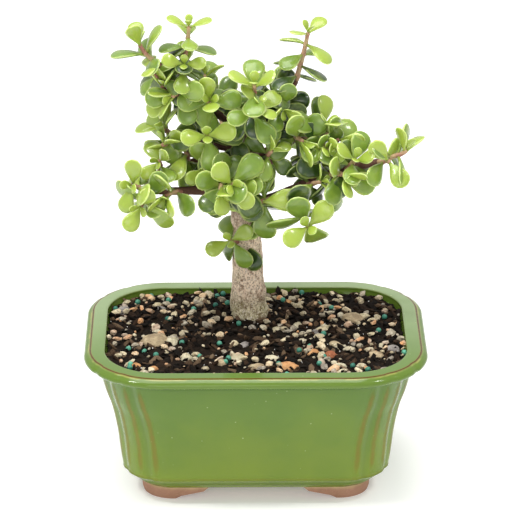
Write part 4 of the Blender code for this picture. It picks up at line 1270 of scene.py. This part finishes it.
def grow_shoot(row, chance):
    """The stem's tube and the leaves' points: place, turn, size, shape, tone, and age with painted
    shade added.
    """
    roll, pairs, length, opening, spacing = row[6:]
    curve, arc, axis = stem_path(row)
    total = arc[-1]
    level = unit(np.cross(axis, [0.0, 0.0, 1.0]))
    t = math.radians(roll)
    radial = math.cos(t) * level + math.sin(t) * np.cross(axis, level)
    heart = plant_point(HEART)

    def at(distance):
        return np.array([np.interp(distance, arc, curve[:, k]) for k in range(3)])

    nodes = []
    pair = 0
    while pair < pairs + 2:
        place = total - 0.8 * MM - pair * spacing * MM
        if place < 1.5 * MM:
            break
        nodes.append((pair, place))
        pair += 1
    stops = sorted(set([0.0, total] + [p + d * MM for _, p in nodes for d in (-0.9, 0.0, 0.9)]
                       + list(np.linspace(0, total, 7))))
    stops = [s for s in stops if 0.0 <= s <= total]
    radii = []
    for s in stops:
        swell = max([hump(s - p, 0.7 * MM) for _, p in nodes] + [0.0])
        radii.append((STEM_HALF + 0.35 * (1 - s / total) + 0.3 * swell) * MM)
    radii[-1] = 0.4 * MM
    stem = tube(np.array([at(s) for s in stops]), radii, 8)
    leaves = []
    for pair, place in nodes:
        ahead = axis if place > total - MM else unit(at(place + 0.5 * MM) - at(place - 0.5 * MM))
        a = unit(radial - ahead * (radial @ ahead))
        b = np.cross(ahead, a)
        out = a if pair % 2 == 0 else b
        size = length * (YOUNG_SIZE if pair == 0 and pairs > 1 else 1.0)
        for sign in (-1, 1):
            angle = min(opening + PAIR_OPEN * pair, OPEN_LIMIT) - LEAF_TUCK
            angle += chance.uniform(-5, 5)
            full = size * chance.uniform(0.92, 1.06) * MM
            base = at(place) + sign * out * STEM_HALF * MM
            # Leaves near the crown's middle and at its back get painted shade, added to their age.
            inner_shade = hump(float(np.linalg.norm((base - heart) * (1, 0.8, 1))), 26 * MM)
            behind_shade = 0.3 if base[1] > TRUNK_FOOT[1] else 0.0
            age = pair / 3 + 0.35 * inner_shade + behind_shade + chance.uniform(-0.1, 0.15)
            leaves.append((base, leaf_frame(ahead, sign * out, angle), full,
                           chance.randrange(3), chance.random(), min(1.1, age)))
    if pairs > 1:
        b = np.cross(axis, radial)
        for sign in (-1, 1):
            leaves.append((at(total), leaf_frame(axis, sign * unit(b), 26),
                           length * 0.42 * MM, 1, chance.random(), 0.0))
    return stem, leaves


def leaf_object(name, curl, cup):
    """One leaf of unit length along Y with its upper face towards Z."""
    rings = []
    centre = np.zeros(3)
    last = 0.0
    sides = 8
    rows = LEAF_OUTLINE + [(1.0, 0.0, 0.0)]
    rims = []
    runs = []
    for share, wide, thick in rows:
        bend = math.radians(curl * share)
        along = np.array([0.0, math.cos(bend), -math.sin(bend)])
        face = np.array([0.0, math.sin(bend), math.cos(bend)])
        centre = centre + along * (share - last)
        last = share
        ring = []
        for k in range(sides):
            t = 2 * math.pi * k / sides
            across = math.cos(t)
            up = thick * math.sin(t) + cup * wide * across ** 2
            ring.append(centre + np.array([wide * across, 0.0, 0.0]) + face * up)
            rims.append(abs(across) ** 3 if share > 0.2 else 0.0)
            runs.append(share)
        rings.append(ring)
    rings.pop()                               # the last row is a single point
    verts, faces = loft(rings)
    faces.pop()
    low = sides * (len(rings) - 1)
    for k in range(sides):
        faces.append((low + k, low + (k + 1) % sides, len(verts)))
    verts.append(tuple(centre))
    rims = rims[:len(verts) - 1] + [1.0]
    for k in range(sides):
        rims[low + k] = max(rims[low + k], 0.7)
    runs = runs[:len(verts) - 1] + [1.0]
    leaf = make_object(name, verts, faces)
    store(leaf.data, "rim", rims)
    store(leaf.data, "run", runs)
    return leaf


# ---- settings ------------------------------------------------------------------------
def colour(name, description, default):
    return FloatVectorProperty(name=name, description=description, default=default,
                               subtype="COLOR", size=3, min=0.0, max=1.0)


class PotSettings(bpy.types.PropertyGroup):
    glaze_high: colour("Upper Glaze", "Glaze near the rim", (0.085, 0.158, 0.018))
    glaze_low: colour("Lower Glaze", "Glaze near the foot", (0.150, 0.215, 0.018))
    glaze_lip: colour("Lip Glaze", "Glaze on the front of the lip", (0.105, 0.178, 0.032))
    glaze_pale: colour("Pale Lip Glaze", "Glaze on the back of the lip", (0.25, 0.33, 0.16))
    glaze_roll: colour("Roll Glaze", "Glaze on the lip's rounded edge", (0.105, 0.170, 0.022))
    # Dark glaze pooled in the grooves, also used as painted shade under the lip.
    glaze_pool_and_shade: colour("Pooled Glaze", "Glaze where it lies deep", (0.045, 0.095, 0.014))
    glaze_break: colour("Thin Glaze", "Glaze where it breaks on an edge", (0.20, 0.115, 0.022))
    glaze_gleam: colour("Gleaming Glaze", "Pale line beside the lip's edge", (0.36, 0.33, 0.08))
    clay: colour("Clay", "Bare clay of the feet", (0.29, 0.145, 0.085))


class SoilSettings(bpy.types.PropertyGroup):
    chip_density: FloatProperty(name="Chips", description="Bark chips in a square metre",
                                default=120000.0, min=0.0)
    grit_density: FloatProperty(name="Grit", description="Gravel in a square metre",
                                default=26000.0, min=0.0)
    gravel_density: FloatProperty(name="Gravel", description="Coarse gravel in a square metre",
                                  default=36000.0, min=0.0)
    perlite_density: FloatProperty(name="Perlite", description="White specks in a square metre",
                                   default=9000.0, min=0.0)
    prill_density: FloatProperty(name="Beads", description="Fertiliser beads in a square metre",
                                 default=6500.0, min=0.0)
    prill_size: FloatProperty(name="Bead Size", description="Diameter of a fertiliser bead",
                              default=2.6 * MM, unit="LENGTH", min=0.0)
    prill: colour("Bead", "Fertiliser bead", (0.006, 0.11, 0.075))
    prill_pale: colour("Pale Bead", "Weathered fertiliser bead", (0.10, 0.38, 0.25))
    seed: IntProperty(name="Seed", description="Changes how the bits are strewn", default=5)


class PlantSettings(bpy.types.PropertyGroup):
    leaf_size: FloatProperty(name="Leaf Size", description="Scale of every leaf",
                             default=1.0, min=0.5, max=1.5)
    seed: IntProperty(name="Seed", description="Changes how the leaves sway", default=11)
    leaf_young: colour("Young Leaf", "Newest leaves", (0.31, 0.41, 0.050))
    leaf_mid: colour("Leaf", "Grown leaves", (0.145, 0.240, 0.026))
    # Also the colour of painted shade on inner and back leaves.
    leaf_old_and_shaded: colour("Old Leaf", "Oldest and inner leaves", (0.020, 0.052, 0.006))
    # Pale edge: partly the leaf's own colour, partly painted light at the thin edge.
    leaf_rim_and_sheen: colour("Leaf Rim", "Thin edge of a leaf", (0.66, 0.78, 0.26))
    bark_light: colour("Bark", "Bark of the trunk", (0.92, 0.74, 0.56))
    bark_dark: colour("Bark Furrow", "Hollows of the bark", (0.29, 0.18, 0.115))
    limb_light: colour("Limb", "Bark of the limbs", (0.19, 0.095, 0.065))
    limb_dark: colour("Limb Shade", "Hollows of the limbs' bark", (0.07, 0.032, 0.025))
    stem_red: colour("Young Stem", "Skin of a young stem", (0.34, 0.15, 0.11))
    stem_tan: colour("Stem Tan", "Paler patches of a stem", (0.46, 0.33, 0.17))
    cut_wood: colour("Cut Wood", "Face of a pruned stub", (0.55, 0.42, 0.26))


class StageSettings(bpy.types.PropertyGroup):
    floor_colour: colour("Floor", "Plain floor", (0.88, 0.88, 0.87))
    floor_glow: FloatProperty(name="Floor Glow", description="Light the floor gives off",
                              default=0.22, min=0.0)
    sky: FloatProperty(name="Sky", description="Brightness of the surrounding light",
                       default=0.75, min=0.0)
    key: FloatProperty(name="Key", description="Power in watts, of which each lamp has a share",
                       default=14.0, min=0.0)
    azimuth: FloatProperty(name="Azimuth", description="Camera's turn round the pot",
                           default=math.radians(-0.63), subtype="ANGLE")
    elevation: FloatProperty(name="Elevation", description="Camera's height over the horizon",
                             default=math.radians(22.12), subtype="ANGLE")
    distance: FloatProperty(name="Distance", description="Camera to its target",
                            default=1.5365, unit="LENGTH")
    lens: FloatProperty(name="Lens", description="Focal length in millimetres",
                        default=235.08)


SETTINGS = {"jade_pot": PotSettings, "jade_soil": SoilSettings,
            "jade_plant": PlantSettings, "jade_stage": StageSettings}


# Lamps: name, place, size of the square and share of the key power.
LAMPS = [
    ("overhead", (-0.10, 0.00, 1.25), 0.8, 0.74),
    ("left_high", (-0.65, -0.35, 1.15), 0.16, 0.42),
    ("right_high", (0.65, -0.35, 1.15), 0.16, 0.28),
    ("front", (-0.30, -1.70, 0.70), 0.7, 0.32),
]
LAMP_AIM = (0.0, 0.0, 0.08)
CAMERA_AIM = (0.0021, 0.0, 0.1037)


# ---- operators -----------------------------------------------------------------------
class JADE_OT_stage(bpy.types.Operator):
    """Set up the floor, the lights and the camera"""
    bl_idname = "jade.stage"
    bl_label = "Stage"

    def execute(self, context):
        stage = context.scene.jade_stage
        span = 4.0
        floor = make_object("floor", [(-span, -span, 0), (span, -span, 0),
                                      (span, span, 0), (-span, span, 0)], [(0, 1, 2, 3)],
                            floor_paint(stage), smooth=False)
        self.add_sky(context, stage.sky)
        for name, place, size, share in LAMPS:
            self.add_light(name, place, size, share * stage.key)
        self.add_camera(context, stage)
        context.scene.view_settings.view_transform = "Standard"
        return {"FINISHED"}

    @staticmethod
    def add_sky(context, brightness):
        world = bpy.data.worlds.new("sky")
        world.use_nodes = True
        ground = world.node_tree.nodes["Background"]
        ground.inputs["Color"].default_value = (1.0, 1.0, 1.0, 1.0)
        ground.inputs["Strength"].default_value = brightness
        context.scene.world = world

    @staticmethod
    def add_light(name, place, size, power):
        data = bpy.data.lights.new(name, "AREA")
        data.shape = "SQUARE"
        data.size = size
        data.energy = power
        lamp = bpy.data.objects.new(name, data)
        lamp.location = place
        aim = Vector(LAMP_AIM) - Vector(place)
        lamp.rotation_euler = aim.to_track_quat("-Z", "Y").to_euler()
        bpy.context.scene.collection.objects.link(lamp)

    @staticmethod
    def add_camera(context, stage):
        data = bpy.data.cameras.new("camera")
        data.sensor_width = 36.0
        data.lens = stage.lens
        data.clip_start = 0.05
        data.clip_end = 50.0
        camera = bpy.data.objects.new("camera", data)
        a = stage.azimuth
        e = stage.elevation
        back = Vector((math.sin(a) * math.cos(e), -math.cos(a) * math.cos(e), math.sin(e)))
        camera.location = Vector(CAMERA_AIM) + back * stage.distance
        camera.rotation_euler = (-back).to_track_quat("-Z", "Y").to_euler()
        context.scene.collection.objects.link(camera)
        context.scene.camera = camera


class JADE_OT_pot(bpy.types.Operator):
    """Build the glazed pot, its clay feet and the drain mesh's finish"""
    bl_idname = "jade.pot"
    bl_label = "Pot"

    def execute(self, context):
        pot = context.scene.jade_pot
        bowl = build_bowl(glaze_paint(pot))
        feet = build_feet(clay_paint(pot))
        for piece in (bowl, feet):
            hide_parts("pot")
            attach(piece, "root")
        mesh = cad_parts["drain_mesh"]
        mesh.data.materials.clear()
        mesh.data.materials.append(mesh_paint())
        return {"FINISHED"}


class JADE_OT_soil(bpy.types.Operator):
    """Fill the pot with soil and strew bark, grit, perlite and beads over it"""
    bl_idname = "jade.soil"
    bl_label = "Soil"

    def execute(self, context):
        soil = context.scene.jade_soil
        body, surface = build_soil(earth_paint())
        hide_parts("soil")
        pieces = [body]
        tree = scatter_tree()
        chips = [bit_object("chip_a", 1, 0.35, (1.0, 0.5, 0.35), 1),
                 bit_object("chip_b", 1, 0.35, (1.0, 0.35, 0.30), 2)]
        grits = [bit_object("grit_a", 0, 0.14, (1.0, 0.85, 0.75), 3, True),
                 bit_object("grit_b", 0, 0.16, (1.0, 0.70, 0.60), 4, True)]
        rocks = [bit_object("rock_a", 2, 0.20, (1.0, 0.80, 0.70), 7),
                 bit_object("rock_b", 2, 0.22, (1.0, 0.62, 0.55), 9)]
        gravel = grit_paint()
        beads = [bit_object("bead_a", 3, 0.0, (1.0, 1.0, 1.0), 5, True),
                 bit_object("bead_b", 3, 0.02, (1.0, 0.96, 0.95), 6, True)]
        strewn = [
            ("soil_chips", chips, chip_paint(), soil.chip_density, 1.6, (2.6, 2.8, 2.8),
             (8.0, 9.0, 8.0), 0.2, (0.8, 0.8, 3.14), 0.0),
            ("soil_grit", grits, gravel, soil.grit_density, 1.8, (1.2, 1.2, 1.1),
             (3.0, 2.8, 2.4), 0.7, (0.6, 0.6, 3.14), 0.7),
            ("soil_gravel", rocks, gravel, soil.gravel_density, 2.9, (2.8, 2.6, 2.4),
             (6.6, 5.8, 4.8), 1.2, (0.5, 0.5, 3.14), 0.8),
            ("soil_perlite", grits, perlite_paint(), soil.perlite_density, 1.0,
             (0.35, 0.35, 0.35), (0.9, 0.9, 0.8), 0.7, (3.1, 3.1, 3.1), 0.3),
            ("soil_beads", beads, prill_paint(soil), soil.prill_density, 3.0,
             (soil.prill_size / MM * 0.92,) * 3, (soil.prill_size / MM * 1.04,) * 3, 1.2,
             (3.1, 3.1, 3.1), 0.8),
        ]
        for index, row in enumerate(strewn):
            name, bits, mat, density, gap, small, large, lift, tilt, patches = row
            piece = make_object(name, *surface)
            tree.grow(piece, Bit_A=bits[0], Bit_B=bits[1], Spacing=gap * MM, Density=density,
                      Smallest=[s * MM for s in small], Largest=[s * MM for s in large],
                      Lift=lift * MM, Tilt=tilt, Patchiness=patches, Seed=soil.seed + index,
                      Material=mat)
            pieces.append(piece)
        for bit in chips + grits + rocks + beads:
            bpy.data.objects.remove(bit, do_unlink=True)
        for piece in pieces:
            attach(piece, "root")
        return {"FINISHED"}


class JADE_OT_stones(bpy.types.Operator):
    """Set the larger pebbles in the soil"""
    bl_idname = "jade.stones"
    bl_label = "Stones"

    def execute(self, context):
        for name, (light, dark) in STONE_COLOURS.items():
            stone_paint("pebble_" + name, light, dark)
        for index, row in enumerate(STONES):
            stone = build_stone(index, row)
            if row[0]:
                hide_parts(row[0])
            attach(stone, "root")
        return {"FINISHED"}


class JADE_OT_wood(bpy.types.Operator):
    """Grow the trunk and the limbs"""
    bl_idname = "jade.wood"
    bl_label = "Wood"

    def execute(self, context):
        wood = build_wood(bark_paint(context.scene.jade_plant))
        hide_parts("trunk", *["limb_" + name for name in LIMBS])
        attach(wood, "root")
        return {"FINISHED"}


class JADE_OT_shoots(bpy.types.Operator):
    """Grow the young stems and their leaves, one piece for each part of the crown"""
    bl_idname = "jade.shoots"
    bl_label = "Shoots"

    def execute(self, context):
        plant = context.scene.jade_plant
        leaf_mat = leaf_paint(plant)
        stem_mat = stem_paint(plant)
        shapes = [leaf_object("leaf_flat", 16, 0.04), leaf_object("leaf_cupped", 20, 0.16),
                  leaf_object("leaf_curled", 34, 0.08)]
        tree = leaf_tree()
        chance = random.Random(plant.seed)
        for letter, place in SHOOT_GROUPS.items():
            rows = [row for row in SHOOTS if row[0][0] == letter]
            grown = [grow_shoot(row, chance) for row in rows]
            stems = make_object("stems_" + place, *gather([g[0] for g in grown]))
            leaves = [leaf for g in grown for leaf in g[1]]
            piece = make_object("shoots_" + place, [leaf[0] for leaf in leaves], [])
            store(piece.data, "turn", [leaf[1] for leaf in leaves], "FLOAT_VECTOR")
            store(piece.data, "size", [(leaf[2],) * 3 for leaf in leaves], "FLOAT_VECTOR")
            store(piece.data, "shape", [leaf[3] for leaf in leaves])
            store(piece.data, "tone", [leaf[4] for leaf in leaves])
            store(piece.data, "age", [leaf[5] for leaf in leaves])
            tree.grow(piece, Flat_Leaf=shapes[0], Cupped_Leaf=shapes[1], Curled_Leaf=shapes[2],
                      Stems=stems, Leaf_Size=plant.leaf_size, Seed=plant.seed,
                      Leaf_Material=leaf_mat, Stem_Material=stem_mat)
            bpy.data.objects.remove(stems, do_unlink=True)
            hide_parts(*["shoot_" + row[0] for row in rows])
            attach(piece, "root")
        for shape in shapes:
            bpy.data.objects.remove(shape, do_unlink=True)
        return {"FINISHED"}


class JADE_PT_panel(bpy.types.Panel):
    """Lists the steps and settings of the potted jade"""
    bl_idname = "JADE_PT_panel"
    bl_label = "Potted Jade"
    bl_space_type = "VIEW_3D"
    bl_region_type = "UI"
    bl_category = "Jade"

    def draw(self, context):
        for step in STEPS:
            self.layout.operator(step.bl_idname)
        for holder, group in SETTINGS.items():
            box = self.layout.box()
            for name in group.__annotations__:
                box.prop(getattr(context.scene, holder), name)


STEPS = (JADE_OT_stage, JADE_OT_pot, JADE_OT_soil, JADE_OT_stones, JADE_OT_wood,
         JADE_OT_shoots)
CLASSES = (*SETTINGS.values(), *STEPS, JADE_PT_panel)


def register():
    for cls in CLASSES:
        bpy.utils.register_class(cls)
    for holder, group in SETTINGS.items():
        setattr(bpy.types.Scene, holder, PointerProperty(type=group))


def unregister():
    for holder in SETTINGS:
        delattr(bpy.types.Scene, holder)
    for cls in reversed(CLASSES):
        bpy.utils.unregister_class(cls)


def main():
    register()
    bpy.ops.jade.stage()
    bpy.ops.jade.pot()
    bpy.ops.jade.soil()
    bpy.ops.jade.stones()
    bpy.ops.jade.wood()
    bpy.ops.jade.shoots()


if __name__ == "__main__":
    main()
